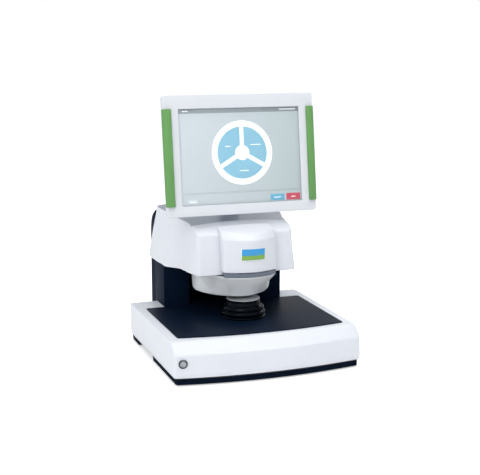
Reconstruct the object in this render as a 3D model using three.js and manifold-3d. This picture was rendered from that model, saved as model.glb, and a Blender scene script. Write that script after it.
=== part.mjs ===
// Benchtop near-infrared analyser: a bowed base with a work mat, a dark column, an optical head
// over a turning sample dish, and a tilting touch screen. Millimetres, +Z up, front towards -Y.
import * as THREE from 'three';
import { mergeVertices } from 'three/addons/utils/BufferGeometryUtils.js';
import Module from 'manifold-3d';

const wasm = await Module();
wasm.setup();

// ---- driving dimensions ----
const gap = 0.3;              // between pieces that touch
const wall = 3;               // moulded housings
const roundSteps = 32;        // facets of a visible round piece

// base
const baseWidth = 373;
const baseBackY = 166.4;      // measured from the middle of the base's corners
const baseFrontY = -168;      // front face at the two corners
const baseBow = 18.4;         // how far the front bulges at its middle
const baseBottomZ = 16.1;
const baseCreaseZ = 58;
const baseTopZ = 78.6;
const baseCorner = 6;
const chamferRun = 23;        // how far the upper front slopes back
const plateThick = 3.2;
const skirtInset = 4;
const skirtWidth = 22;
const padHeight = 1.7;
const padRadius = 9;
const rearFootLength = 57;

// work mat
const matWidth = 335.5;
const matBackY = 103;
const matFrontY = -124.6;
const matBow = 16.9;
const matThick = 1.7;

// power button
const buttonX = -170.5;
const buttonZ = 43;
const buttonRadius = 6;
const bezelRadius = 8.75;
const buttonTravel = 1.5;

// turntable and sample dish
const spindleY = -15;
const spindleRadius = 6;
const carrierRadius = 44.5;
const carrierTopZ = baseTopZ + 36.2;
const dishRadius = 33.6;
const dishHeight = 2.6;
const dishWall = 1;
const bigPulleyRadius = 30;
const smallPulleyRadius = 12;
const pulleyZ = 40;
const pulleyHeight = 10;
const motorX = 75;
const motorSide = 42;
const beltThick = 1.4;

// column
const columnHalf = 128;
const postInner = 73.5;
const postFrontY = 107;
const postBackY = 177;
const postTopZ = baseTopZ + 109.4;
const postWall = 2.5;
const panelY = 150;
const coverBackY = 208;
const coverBottomZ = 20;
const coverWall = 2.5;

// head
const headBottomZ = baseTopZ + 93.9;
const headCreaseZ = headBottomZ + 77.5;
const headTopZ = headBottomZ + 119.5;   // where the side walls would end above the roof
const crestY = 4;             // the silver lid starts behind this line
const crestZ = headBottomZ + 92.1;
const frontPitch = 0.21;      // rise of the roof per millimetre towards the back
const rearPitch = 0.1;
const pitchChangeY = 40;
const roofCrown = 5.5;
const lidThick = 2.7;
const noseHalf = 55;
const noseBottomZ = headBottomZ + 7.8;
const noseCreaseZ = headBottomZ + 71.5;
const noseWall = 2.5;
const bandHeight = 9.4;
const bandHalf = 53;
const bandDepth = 10;
const badgeWidth = 49.5;
const badgeHeight = 24.5;
const badgeZ = headBottomZ + 44;
const badgeThick = 1;
const badgeSeat = 0.7;        // foam tape behind the badge
const bowlTopZ = headBottomZ - 2.3;
const bowlBottomZ = bowlTopZ - 47;
const bowlWall = 2.5;
const bowlBackY = 104;
const windowY = 5;
const windowRadius = 19;
const chassisZ = headBottomZ + 67.5;
const chassisThick = 3;

// screen
const screenWidth = 307.5;
const screenHeight = 233.5;
const screenTilt = 7.9;       // degrees, top leaning back
const screenFaceY = -6;       // middle of the front face
const screenFaceZ = headBottomZ + 229.8;
const pivotDepth = 46;        // hinge axis behind the front face
const viewWidth = 246;
const viewHeight = 184.5;
const viewDrop = 3.3;
const bezelDepth = 10;
const lipDepth = 2;
const rearDepth = 23.7;
const gripLength = 186;
const gripDrop = 3.2;
const gripReach = 16.6;       // width of a grip seen from the front
const gripForward = 6.5;      // how far it stands out in front of the bezel
const gripOverhang = 1.5;     // beyond the side of the screen
const gripDepth = 9;          // how far it wraps back round the side
const pinRadius = 4;
const mastHalf = 20;
const earThick = 8;
const washerThick = 1.5;

// rear services
const fanSide = 60;
const fanX = -columnHalf + 58;
const fanZ = 134;
const fanDepth = 20;
const inletX = columnHalf - 70;
const inletZ = 52;
const socketsX = -columnHalf + 28;

// ---- shapes ----
const degrees = Math.PI / 180;
const point = (x, y) => new THREE.Vector2(x, y);

// Flips a geometry whose faces point inwards and drops faces that have no area.
const closed = (geometry) => {
  const bare = geometry.index ? geometry.toNonIndexed() : geometry.clone();
  for (const name of Object.keys(bare.attributes)) {
    if (name !== 'position') bare.deleteAttribute(name);
  }
  const merged = mergeVertices(bare, 1e-4);
  const place = merged.attributes.position;
  const corners = [];
  let volume = 0;
  for (let i = 0; i < merged.index.count; i += 3) {
    const [a, b, c] = [0, 1, 2].map((k) => merged.index.getX(i + k));
    if (a === b || b === c || a === c) continue;
    corners.push(a, b, c);
    const [u, v, w] = [a, b, c].map((k) => new THREE.Vector3().fromBufferAttribute(place, k));
    volume += u.dot(v.cross(w));
  }
  if (volume < 0) corners.reverse();
  merged.setIndex(corners);
  return merged;
};

const toSolid = (geometry) => {
  const merged = closed(geometry);
  return new wasm.Manifold(new wasm.Mesh({
    numProp: 3,
    vertProperties: new Float32Array(merged.attributes.position.array),
    triVerts: new Uint32Array(merged.index.array),
  }));
};

const toGeometry = (solid) => {
  const mesh = solid.getMesh();
  const geometry = new THREE.BufferGeometry();
  geometry.setAttribute('position', new THREE.BufferAttribute(mesh.vertProperties, 3));
  geometry.setIndex(new THREE.BufferAttribute(mesh.triVerts, 1));
  geometry.computeVertexNormals();
  return geometry;
};

const joined = (...solids) => solids.reduce((sum, next) => sum.add(next));
const cut = (solid, ...tools) => tools.reduce((rest, tool) => rest.subtract(tool), solid);

// A box between two limits on each axis.
const block = (x, y, z) => {
  const geometry = new THREE.BoxGeometry(x[1] - x[0], y[1] - y[0], z[1] - z[0]);
  geometry.translate((x[0] + x[1]) / 2, (y[0] + y[1]) / 2, (z[0] + z[1]) / 2);
  return toSolid(geometry);
};

const extruded = (outline, depth, basis, offset) => {
  const geometry = new THREE.ExtrudeGeometry(new THREE.Shape(outline), { depth, bevelEnabled: false });
  geometry.applyMatrix4(new THREE.Matrix4().makeBasis(...basis));
  geometry.translate(...offset);
  return toSolid(geometry);
};
const axisX = new THREE.Vector3(1, 0, 0);
const axisY = new THREE.Vector3(0, 1, 0);
const axisZ = new THREE.Vector3(0, 0, 1);
const alongZ = (outline, low, high) =>
  extruded(outline, high - low, [axisX, axisY, axisZ], [0, 0, low]);
const alongX = (outline, low, high) =>
  extruded(outline, high - low, [axisY, axisZ, axisX], [low, 0, 0]);
const alongY = (outline, low, high) =>
  extruded(outline, high - low, [axisX, axisZ, axisY.clone().negate()], [0, high, 0]);

// A round bar along one axis, between two places on it.
const bar = (axis, radius, low, high, at, steps = 20) => {
  const geometry = new THREE.CylinderGeometry(radius, radius, high - low, steps);
  if (axis === 'x') geometry.rotateZ(Math.PI / 2);
  if (axis === 'z') geometry.rotateX(Math.PI / 2);
  const middle = (low + high) / 2;
  if (axis === 'x') geometry.translate(middle, at[0], at[1]);
  if (axis === 'y') geometry.translate(at[0], middle, at[1]);
  if (axis === 'z') geometry.translate(at[0], at[1], middle);
  return toSolid(geometry);
};

// A turned piece about a vertical axis; the profile runs from the axis back to the axis.
const turned = (profile, at, steps = roundSteps) => {
  const geometry = new THREE.LatheGeometry(profile.map(([r, z]) => point(r, z)), steps);
  geometry.rotateX(Math.PI / 2);
  geometry.translate(at[0], at[1], 0);
  return toSolid(geometry);
};

// Skins a row of rings that all have the same number of points; flat gives a ring's own plane.
const loft = (rings, flat = (p) => point(p.x, p.y)) => {
  const count = rings[0].length;
  const corners = [];
  for (let i = 0; i + 1 < rings.length; i += 1) {
    for (let k = 0; k < count; k += 1) {
      const a = i * count + k;
      const b = i * count + ((k + 1) % count);
      corners.push(a, b, b + count, a, b + count, a + count);
    }
  }
  const contour = rings[0].map(flat);
  const wound = THREE.ShapeUtils.isClockWise(contour) ? -1 : 1;
  const addCap = (ring, start, side) => {
    for (const face of THREE.ShapeUtils.triangulateShape(ring.map(flat), [])) {
      const turn = side * wound > 0 ? face : [...face].reverse();
      corners.push(...turn.map((k) => start + k));
    }
  };
  addCap(rings[0], 0, -1);
  addCap(rings[rings.length - 1], (rings.length - 1) * count, 1);
  const geometry = new THREE.BufferGeometry().setFromPoints(rings.flat());
  geometry.setIndex(corners);
  return toSolid(geometry);
};

const raised = (outline, z) => outline.map((p) => new THREE.Vector3(p.x, p.y, z));

const cornerArc = (x, y, radius, startDegrees, steps = 3) => {
  const points = [];
  for (let i = 0; i <= steps; i += 1) {
    const angle = (startDegrees + (90 * i) / steps) * degrees;
    points.push(point(x + radius * Math.cos(angle), y + radius * Math.sin(angle)));
  }
  return points;
};

const bowAt = (x, half, endY, bow) => endY - bow * (1 - (x / half) ** 2);

// A rectangle whose front edge bulges forward, counter-clockwise from its front left corner.
const bowedOutline = ({ half, backY, frontY, bow, corner, steps = 10 }) => {
  const inner = half - corner;
  const cornerY = bowAt(inner, half, frontY, bow) + corner;
  const front = [];
  for (let i = 1; i < steps; i += 1) {
    const x = -inner + (2 * inner * i) / steps;
    front.push(point(x, bowAt(x, half, frontY, bow)));
  }
  return [
    ...cornerArc(-inner, cornerY, corner, 180),
    ...front,
    ...cornerArc(inner, cornerY, corner, 270),
    ...cornerArc(inner, backY - corner, corner, 0),
    ...cornerArc(-inner, backY - corner, corner, 90),
  ];
};

const roundedRectangle = (halfWidth, low, high, corner, steps = 3) => [
  ...cornerArc(-halfWidth + corner, low + corner, corner, 180, steps),
  ...cornerArc(halfWidth - corner, low + corner, corner, 270, steps),
  ...cornerArc(halfWidth - corner, high - corner, corner, 0, steps),
  ...cornerArc(-halfWidth + corner, high - corner, corner, 90, steps),
];

const circle = (x, y, radius, steps = 20) => {
  const points = [];
  for (let i = 0; i < steps; i += 1) {
    const angle = (2 * Math.PI * i) / steps;
    points.push(point(x + radius * Math.cos(angle), y + radius * Math.sin(angle)));
  }
  return points;
};

// ---- materials and pieces ----
const finish = (color, roughness, metalness = 0) => ({ color, roughness, metalness });
const white = finish(0xe6e9ee, 0.42);
const silver = finish(0xb4bac4, 0.35, 0.6);
const navy = finish(0x0b1524, 0.35);
const black = finish(0x050609, 0.2);
const darkPlate = finish(0x22262c, 0.6, 0.3);
const rubber = finish(0x15171a, 0.85);
const steel = finish(0x9aa0a6, 0.35, 0.9);
const aluminium = finish(0xc6cace, 0.4, 0.8);
const chrome = finish(0xd6dade, 0.12, 1);
const green = finish(0x6ba55f, 0.5);
const badgeBlue = finish(0x1e9bd7, 0.35);
const glass = finish(0xdbe4ea, 0.06);
const display = finish(0xc8d2d8, 0.25);
const boardGreen = finish(0x1f5a3c, 0.6);
const castGrey = finish(0x8d939a, 0.55, 0.4);

const analyser = new THREE.Group();
const add = (name, solid, look, group = analyser) => {
  const material = new THREE.MeshStandardMaterial(look);
  const mesh = new THREE.Mesh(toGeometry(solid), material);
  mesh.name = name;
  group.add(mesh);
  return mesh;
};

// ---- base ----
const baseHalf = baseWidth / 2;
const edgeRound = 1.6;
const creaseRecess = 2.5;     // the lower front leans back this much up to its crease

const baseRing = (z, inset, frontY, bow) => raised(bowedOutline({
  half: baseHalf - inset,
  backY: baseBackY - inset,
  frontY: frontY + inset,
  bow,
  corner: baseCorner,
}), z);

const baseForm = (inset, bottomZ, topZ) => {
  const topY = baseFrontY + creaseRecess + chamferRun;
  const topBow = baseBow * 0.55;
  return loft([
    baseRing(bottomZ, inset, baseFrontY, baseBow),
    baseRing(baseCreaseZ - inset * 0.4, inset, baseFrontY + creaseRecess, baseBow * 0.95),
    baseRing(topZ - edgeRound, inset, topY - edgeRound, topBow),
    baseRing(topZ, inset + edgeRound, topY - edgeRound, topBow),
  ]);
};

const spindleHole = spindleRadius + 8;
const buttonShare = (buttonZ - baseBottomZ) / (baseCreaseZ - baseBottomZ);
const buttonFaceY = bowAt(buttonX, baseHalf, baseFrontY, baseBow) + creaseRecess * buttonShare;
const buttonTurn = Math.atan((2 * baseBow * buttonX) / baseHalf ** 2);

// Turns and moves a solid's outline from the button's own frame to the base's.
const atButton = (radius, low, high, steps = 24) => {
  const geometry = new THREE.CylinderGeometry(radius, radius, high - low, steps);
  geometry.translate(0, (low + high) / 2, 0);
  geometry.rotateZ(buttonTurn);
  geometry.translate(buttonX, buttonFaceY, buttonZ);
  return toSolid(geometry);
};

const bezelBarrel = bezelRadius - 1;
const shellSolid = cut(
  baseForm(0, baseBottomZ, baseTopZ),
  baseForm(wall, baseBottomZ - 1, baseTopZ - wall),
  bar('z', spindleHole, baseTopZ - 10, baseTopZ + 1, [0, spindleY], 24),
  atButton(bezelBarrel + gap, -6, 12),
);
add('base_housing', shellSolid, white);

const flatOutline = (inset, corner = baseCorner) => bowedOutline({
  half: baseHalf - inset,
  backY: baseBackY - inset,
  frontY: baseFrontY + inset,
  bow: baseBow,
  corner,
});
const plateTopZ = baseBottomZ - gap;
const plateBottomZ = plateTopZ - plateThick;
add('base_plate', alongZ(flatOutline(skirtInset), plateBottomZ, plateTopZ), darkPlate);

const skirtTopZ = plateBottomZ - gap;
const skirtBottomZ = padHeight + gap;
const skirtEndY = 0;
const skirtSlope = 5;
const skirtCut = alongX([
  point(skirtEndY - skirtSlope, -1),
  point(baseBackY + 50, -1),
  point(baseBackY + 50, skirtTopZ + 1),
  point(skirtEndY + skirtSlope, skirtTopZ + 1),
], -baseHalf - 1, baseHalf + 1);
add('front_skirt', cut(
  alongZ(flatOutline(skirtInset), skirtBottomZ, skirtTopZ),
  alongZ(flatOutline(skirtInset + skirtWidth), skirtBottomZ - 1, skirtTopZ + 1),
  skirtCut,
), rubber);

const footBackY = baseBackY - skirtInset;
const footFrontY = footBackY - rearFootLength;
for (const [side, name] of [[-1, 'rear_foot_left'], [1, 'rear_foot_right']]) {
  const outer = side * (baseHalf - skirtInset);
  const inner = side * (baseHalf - skirtInset - skirtWidth);
  add(name, alongX([
    point(footFrontY + skirtSlope, skirtBottomZ),
    point(footBackY - skirtSlope, skirtBottomZ),
    point(footBackY, skirtTopZ),
    point(footFrontY - skirtSlope, skirtTopZ),
  ], Math.min(outer, inner), Math.max(outer, inner)), rubber);
}

const padX = baseHalf - skirtInset - skirtWidth / 2;
const padPlaces = [
  [-padX, baseFrontY + 30],
  [padX, baseFrontY + 30],
  [-padX, footBackY - rearFootLength / 2],
  [padX, footBackY - rearFootLength / 2],
];
padPlaces.forEach((place, i) => {
  add(`rubber_pad_${i + 1}`, bar('z', padRadius, 0, padHeight, place, 16), rubber);
});

const matBottomZ = baseTopZ + gap;
const matTopZ = matBottomZ + matThick;
add('platform_mat', cut(
  joined(
    alongZ(bowedOutline({
      half: matWidth / 2, backY: matBackY, frontY: matFrontY, bow: matBow, corner: 4,
    }), matBottomZ, matTopZ),
    block([-postInner + gap, postInner - gap], [matBackY - 5, panelY - gap], [matBottomZ, matTopZ]),
  ),
  bar('z', spindleHole, matBottomZ - 1, matTopZ + 1, [0, spindleY], 24),
), navy);

// ---- power button: a ring through the front wall, a travelling cap and its switch ----
const ringFront = -2.2;
const barrelBack = wall + 6;
add('button_bezel', cut(
  joined(atButton(bezelRadius, ringFront, -gap), atButton(bezelBarrel, ringFront, barrelBack)),
  atButton(buttonRadius + gap, ringFront - 1, barrelBack + 1),
), chrome);
const capFront = ringFront - 1.2;
const capBack = barrelBack - 2 - buttonTravel;
add('power_button', atButton(buttonRadius, capFront, capBack), steel);
add('button_switch', atButton(bezelBarrel, barrelBack + buttonTravel, barrelBack + 20), black);

// ---- turntable ----
const spindle = [0, spindleY];
const shaftBottomZ = 26;
const shaftTopZ = matTopZ + 13;
add('turntable_shaft', bar('z', spindleRadius, shaftBottomZ, shaftTopZ, spindle), steel);

const carrierBottomZ = matTopZ + gap;
const boreRadius = spindleRadius + gap;
add('dish_carrier', turned([
  [boreRadius, carrierBottomZ],
  [carrierRadius - 1, carrierBottomZ],
  [carrierRadius, carrierBottomZ + 1],
  [carrierRadius, carrierBottomZ + 3.2],
  [carrierRadius - 3.5, carrierBottomZ + 4.6],
  [carrierRadius - 0.8, carrierBottomZ + 6.6],
  [carrierRadius, carrierBottomZ + 9.5],
  [carrierRadius - 0.8, carrierBottomZ + 12.4],
  [carrierRadius - 4, carrierBottomZ + 14.6],
  [carrierRadius - 2.8, carrierBottomZ + 16.4],
  [carrierRadius - 2.5, carrierBottomZ + 19],
  [carrierRadius - 4.5, carrierBottomZ + 22.6],
  [carrierRadius - 8.5, carrierBottomZ + 25.4],
  [carrierRadius - 10.5, carrierBottomZ + 26.2],
  [carrierRadius - 10.5, carrierTopZ - 3.4],
  [carrierRadius - 14, carrierTopZ],
  [0, carrierTopZ],
  [0, shaftTopZ + gap],
  [boreRadius, shaftTopZ + gap],
  [boreRadius, carrierBottomZ],
], spindle), black);

const dishBottomZ = carrierTopZ + gap;
const dishTopZ = dishBottomZ + dishHeight;
add('sample_dish', turned([
  [0, dishBottomZ],
  [dishRadius - 6, dishBottomZ],
  [dishRadius - 1, dishTopZ - 1.2],
  [dishRadius, dishTopZ - 0.8],
  [dishRadius, dishTopZ],
  [dishRadius - dishWall, dishTopZ],
  [dishRadius - 6 - dishWall, dishBottomZ + dishWall],
  [0, dishBottomZ + dishWall],
], spindle), aluminium);

add('spindle_bearing', cut(
  bar('z', spindleHole + 4, baseTopZ - wall - gap - 14, baseTopZ - wall - gap, spindle, 24),
  bar('z', spindleRadius + gap, 0, baseTopZ, spindle),
), castGrey);

const pulley = (radius, bore, at) => cut(
  turned([
    [0, pulleyZ],
    [radius + 2, pulleyZ],
    [radius + 2, pulleyZ + 1],
    [radius, pulleyZ + 1],
    [radius, pulleyZ + pulleyHeight - 1],
    [radius + 2, pulleyZ + pulleyHeight - 1],
    [radius + 2, pulleyZ + pulleyHeight],
    [0, pulleyZ + pulleyHeight],
  ], at, 24),
  bar('z', bore, pulleyZ - 1, pulleyZ + pulleyHeight + 1, at),
);
add('turntable_pulley', pulley(bigPulleyRadius, spindleRadius + gap, spindle), aluminium);

const motorPlace = [motorX, spindleY];
const motorTopZ = pulleyZ - 2;
const motorShaftRadius = 2.5;
add('drive_motor', block(
  [motorX - motorSide / 2, motorX + motorSide / 2],
  [spindleY - motorSide / 2, spindleY + motorSide / 2],
  [plateTopZ + gap, motorTopZ],
), black);
add('motor_pulley', joined(
  pulley(smallPulleyRadius, motorShaftRadius - 0.5, motorPlace),
  bar('z', motorShaftRadius, motorTopZ + gap, pulleyZ + pulleyHeight + 2, motorPlace),
), aluminium);

// The belt's outline around two round pulleys, a set distance outside them.
const beltOutline = (offset) => {
  const lean = Math.acos((bigPulleyRadius - smallPulleyRadius) / motorX);
  const big = bigPulleyRadius + offset;
  const small = smallPulleyRadius + offset;
  const points = [];
  const steps = 14;
  for (let i = 0; i <= steps; i += 1) {
    const angle = lean + ((2 * Math.PI - 2 * lean) * i) / steps;
    points.push(point(big * Math.cos(angle), spindleY + big * Math.sin(angle)));
  }
  for (let i = 0; i <= steps; i += 1) {
    const angle = -lean + (2 * lean * i) / steps;
    points.push(point(motorX + small * Math.cos(angle), spindleY + small * Math.sin(angle)));
  }
  return points;
};
const beltLow = pulleyZ + 1 + gap;
const beltHigh = pulleyZ + pulleyHeight - 1 - gap;
add('drive_belt', cut(
  alongZ(beltOutline(gap + beltThick), beltLow, beltHigh),
  alongZ(beltOutline(gap), beltLow - 1, beltHigh + 1),
), rubber);

// ---- electronics in the base ----
const supply = { x: [-160, -80], y: [-40, 110], height: 43.9 };
const supplyBottomZ = plateTopZ + gap;
add('power_supply', block(supply.x, supply.y, [supplyBottomZ, supplyBottomZ + supply.height]), aluminium);
const board = { x: [-65, 50], y: [35, 150], thick: 1.6, standoff: 6 };
const boardZ = plateTopZ + board.standoff;
const boardParts = [
  { x: [-40, -17.5], y: [60, 82.5], height: 22 },
  { x: [20, 35], y: [70, 90], height: 12 },
  { x: [-30, 5], y: [120, 126], height: 9 },
];
add('computer_board', joined(
  block(board.x, board.y, [boardZ, boardZ + board.thick]),
  ...boardParts.map(({ x, y, height }) => block(x, y, [boardZ + board.thick / 2, boardZ + height])),
), boardGreen);

// ---- column ----
const postBottomZ = baseTopZ + gap;
for (const [side, name] of [[-1, 'column_left_post'], [1, 'column_right_post']]) {
  const edges = [side * postInner, side * columnHalf].sort((a, b) => a - b);
  add(name, cut(
    block(edges, [postFrontY, postBackY], [postBottomZ, postTopZ]),
    block(
      [edges[0] + postWall, edges[1] - postWall],
      [postFrontY + postWall, postBackY - postWall],
      [postBottomZ - 1, postTopZ + 1],
    ),
  ), navy);
}
add('column_centre_panel', block(
  [-postInner + gap, postInner - gap],
  [panelY, panelY + postWall],
  [postBottomZ, postTopZ],
), black);

// ---- head ----
// Half of the head's plan from its front corner to its rear corner, at three heights.
const headPlans = [
  { z: headBottomZ, half: [[97, -42], [102, -36], [108, -10], [114, 40], [136, 67], [140, 152], [137, 194]] },
  { z: headCreaseZ, half: [[94, -30], [99, -24], [102, 4], [106, 40], [119, 85], [126, 150], [128, 176]] },
  { z: headTopZ, half: [[92, 29], [97, 32], [99, 36], [102, 42], [109, 92], [119, 150], [123, 166]] },
];

const headRing = ({ z, half }, inset, forward = 0) => {
  const last = half.length - 1;
  const right = half.map(([x, y], i) => {
    const step = i < 2 ? inset : i === last ? -inset : 0;
    return point(x - inset, y + step - forward);
  });
  const left = right.map((p) => point(-p.x, p.y)).reverse();
  return raised([...right, ...left], z);
};
const headForm = (inset, forward = 0, extra = 0) => {
  const rings = headPlans.map((plan) => headRing(plan, inset, forward));
  if (extra) rings.unshift(headRing(headPlans[0], inset, forward).map((p) => p.setZ(p.z - extra)));
  return loft(rings);
};

const roofAt = (x, y) => {
  const rise = y < pitchChangeY
    ? frontPitch * (y - crestY)
    : frontPitch * (pitchChangeY - crestY) + rearPitch * (y - pitchChangeY);
  return crestZ + rise + roofCrown * (1 - (x / 100) ** 2);
};
// Everything above the roof, lowered by drop.
const ceilingZ = headTopZ + 48;
const aboveRoof = (drop, startY = -120) => {
  const reach = 160;
  const steps = 10;
  const ringAt = (y) => {
    const low = [];
    for (let i = 0; i <= steps; i += 1) {
      const x = -reach + (2 * reach * i) / steps;
      low.push(new THREE.Vector3(x, y, roofAt(x, y) - drop));
    }
    return [...low, new THREE.Vector3(reach, y, ceilingZ), new THREE.Vector3(-reach, y, ceilingZ)];
  };
  const stations = [startY, pitchChangeY, 230].filter((y, i) => i !== 1 || startY < pitchChangeY);
  return loft(stations.map(ringAt), (p) => point(p.z, p.x));
};

const pivotY = screenFaceY + pivotDepth * Math.cos(screenTilt * degrees);
const pivotZ = screenFaceZ - pivotDepth * Math.sin(screenTilt * degrees);
const mastFrontY = pivotY + 22;
const mastBackY = mastFrontY + 36;
const mastSlot = (room) => block(
  [-mastHalf - room, mastHalf + room],
  [mastFrontY - room, mastBackY + room],
  [headCreaseZ, ceilingZ],
);

const headSolid = cut(headForm(0), aboveRoof(0));
const headHollow = cut(headForm(wall, 0, 2), aboveRoof(wall));
const headShell = cut(headSolid, headHollow, aboveRoof(wall, crestY - gap));
add('head_shell', headShell, white);

add('head_top_cover', cut(
  headSolid.intersect(aboveRoof(lidThick, crestY)),
  mastSlot(1),
), silver);

// nose: a bowed panel that stands out in front of the cheeks
const nosePlans = [
  { z: noseBottomZ, endY: -57, bow: 18 },
  { z: noseCreaseZ, endY: -51, bow: 28 },
  { z: noseCreaseZ + 18, endY: -37.5, bow: 20 },
  { z: noseCreaseZ + 36, endY: -24, bow: 12 },
];
const noseRing = ({ z, endY, bow }, inset) => {
  const half = noseHalf - inset;
  const points = [];
  const steps = 12;
  for (let i = 0; i <= steps; i += 1) {
    const x = -half + (2 * half * i) / steps;
    points.push(point(x, bowAt(x, half, endY + inset, bow)));
  }
  return raised([...points, point(half, crestY), point(-half, crestY)], z);
};
const noseForm = (inset, raise) => loft([
  noseRing({ ...nosePlans[0], z: noseBottomZ + raise }, inset),
  ...nosePlans.slice(1).map((plan) => noseRing(plan, inset)),
]);
const seam = 0.4;
const headAhead = headForm(0, seam);
add('nose_cover', cut(
  noseForm(0, 0),
  cut(noseForm(noseWall, noseWall), aboveRoof(noseWall)),
  aboveRoof(0),
  headAhead,
  block([-150, 150], [-18, 60], [headBottomZ - 5, ceilingZ]),
), white);

const noseFaceAt = (x, z) => {
  const [low, high] = nosePlans;
  const share = (z - low.z) / (high.z - low.z);
  const endY = low.endY + share * (high.endY - low.endY);
  return bowAt(x, noseHalf, endY, low.bow + share * (high.bow - low.bow));
};
const badgeRing = (z) => {
  const steps = 8;
  const front = [];
  const back = [];
  for (let i = 0; i <= steps; i += 1) {
    const x = -badgeWidth / 2 + (badgeWidth * i) / steps;
    const y = noseFaceAt(x, z) - badgeSeat;
    front.push(point(x, y - badgeThick));
    back.unshift(point(x, y));
  }
  return raised([...front, ...back], z);
};
const badgeRange = [badgeZ - badgeHeight / 2, badgeZ + badgeHeight / 2];
add('badge_plate', loft(badgeRange.map(badgeRing)), badgeBlue);

const bandTopZ = noseBottomZ - gap;
const bandOutline = (inset) => {
  const steps = 12;
  const low = nosePlans[0];
  const front = [];
  const back = [];
  for (let i = 0; i <= steps; i += 1) {
    const x = -bandHalf + (2 * bandHalf * i) / steps;
    const y = bowAt(x, noseHalf, low.endY + inset, low.bow);
    front.push(point(x, y));
    back.unshift(point(x, y + bandDepth));
  }
  return [...front, ...back];
};
add('trim_band', cut(alongZ(bandOutline(1), bandTopZ - bandHeight, bandTopZ), headAhead), silver);

// ---- bowl: a tapered housing that brings the light down to the dish ----
const bowlPlans = [
  { z: bowlTopZ, centreY: 45, radius: 86.5, frontY: -75, frontHalf: 53, bow: 18 },
  { z: bowlTopZ - 13.2, centreY: 58, radius: 80, frontY: -62, frontHalf: 46, bow: 17 },
  { z: bowlBottomZ + 11.8, centreY: 57, radius: 79.5, frontY: -41, frontHalf: 33, bow: 12 },
  { z: bowlBottomZ + 3.3, centreY: 56, radius: 79, frontY: -33, frontHalf: 26, bow: 8 },
  { z: bowlBottomZ, centreY: 55, radius: 76.5, frontY: -28, frontHalf: 23, bow: 7 },
];
const bowlRing = (plan, inset, z = plan.z) => {
  const radius = plan.radius - inset;
  const frontHalf = plan.frontHalf - inset * 0.5;
  const frontY = plan.frontY + inset;
  const endY = frontY + plan.bow;
  const toCentre = Math.hypot(frontHalf, plan.centreY - endY);
  const lean = Math.atan2(endY - plan.centreY, frontHalf);
  const startAngle = lean + Math.acos(Math.min(1, radius / toCentre));
  const endAngle = Math.asin((bowlBackY - inset - plan.centreY) / radius);
  const right = [];
  const arcSteps = 9;
  for (let i = 0; i <= arcSteps; i += 1) {
    const angle = startAngle + ((endAngle - startAngle) * i) / arcSteps;
    right.push(point(radius * Math.cos(angle), plan.centreY + radius * Math.sin(angle)));
  }
  const front = [];
  const frontSteps = 8;
  for (let i = 0; i <= frontSteps; i += 1) {
    const x = -frontHalf + (2 * frontHalf * i) / frontSteps;
    front.push(point(x, bowAt(x, frontHalf, endY, plan.bow)));
  }
  const left = right.map((p) => point(-p.x, p.y)).reverse();
  return raised([...left, ...front, ...right], z);
};
const bowlForm = (inset, liftBottom, top) => loft([...bowlPlans].reverse().map((plan, i, all) => {
  const z = i === 0 ? plan.z + liftBottom : i === all.length - 1 ? top : plan.z;
  return bowlRing(plan, inset, z);
}));
const windowHole = windowRadius + 2;
const collarTopZ = headBottomZ + 0.7;
const collar = (inset) => alongZ(
  bowlRing(bowlPlans[0], inset).map((p) => point(p.x, p.y)),
  bowlTopZ - 5,
  collarTopZ,
);
const bowlSolid = cut(
  joined(
    bowlForm(0, 0, bowlTopZ),
    collar(bowlWall + 4).intersect(block([-100, 100], [-36, 120], [bowlTopZ - 20, bowlTopZ + 20])),
  ),
  bowlForm(bowlWall, bowlWall, bowlTopZ - 4),
  alongZ(bowlRing(bowlPlans[0], bowlWall * 2 + 4).map((p) => point(p.x, p.y)), bowlTopZ - 6, collarTopZ + 1),
  bar('z', windowHole, bowlBottomZ - 1, bowlBottomZ + 10, [0, windowY], 24),
);
add('light_bowl', bowlSolid, silver);

const ringTopZ = bowlBottomZ + bowlWall + 2;
const ringBottomZ = bowlBottomZ - gap - 1.7;
add('window_ring', turned([
  [windowRadius - 2, ringBottomZ],
  [windowHole + 3, ringBottomZ],
  [windowHole + 3, bowlBottomZ - gap],
  [windowHole - gap, bowlBottomZ - gap],
  [windowHole - gap, ringTopZ],
  [windowRadius + gap, ringTopZ],
  [windowRadius + gap, ringTopZ - 3],
  [windowRadius - 2, ringTopZ - 3],
  [windowRadius - 2, ringBottomZ],
], [0, windowY], 24), black);
add('optical_window', bar(
  'z', windowRadius, ringTopZ - 3 + gap, ringTopZ - gap, [0, windowY], 24,
), glass);

// ---- inside the head ----
const floorZ = headBottomZ + 1;
const floorOutline = headRing(headPlans[0], wall + 1.8).map((p) => point(p.x, Math.min(p.y, postBackY - 1)));
add('head_floor', cut(
  alongZ(floorOutline, floorZ, floorZ + 2),
  alongZ(circle(0, 30, 50, 24), floorZ - 1, floorZ + 3),
  ...[-1, 1].map((side) => block(
    [side * postInner - gap, side * columnHalf + gap].sort((a, b) => a - b).map(
      (x, i) => x + (side < 0 ? (i ? 2 * gap : -2 * gap) : 0),
    ),
    [postFrontY - gap, postBackY + 40],
    [floorZ - 1, floorZ + 3],
  )),
  block([-postInner - 1, postInner + 1], [panelY - gap, postBackY + 40], [floorZ - 1, floorZ + 3]),
), darkPlate);

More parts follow.
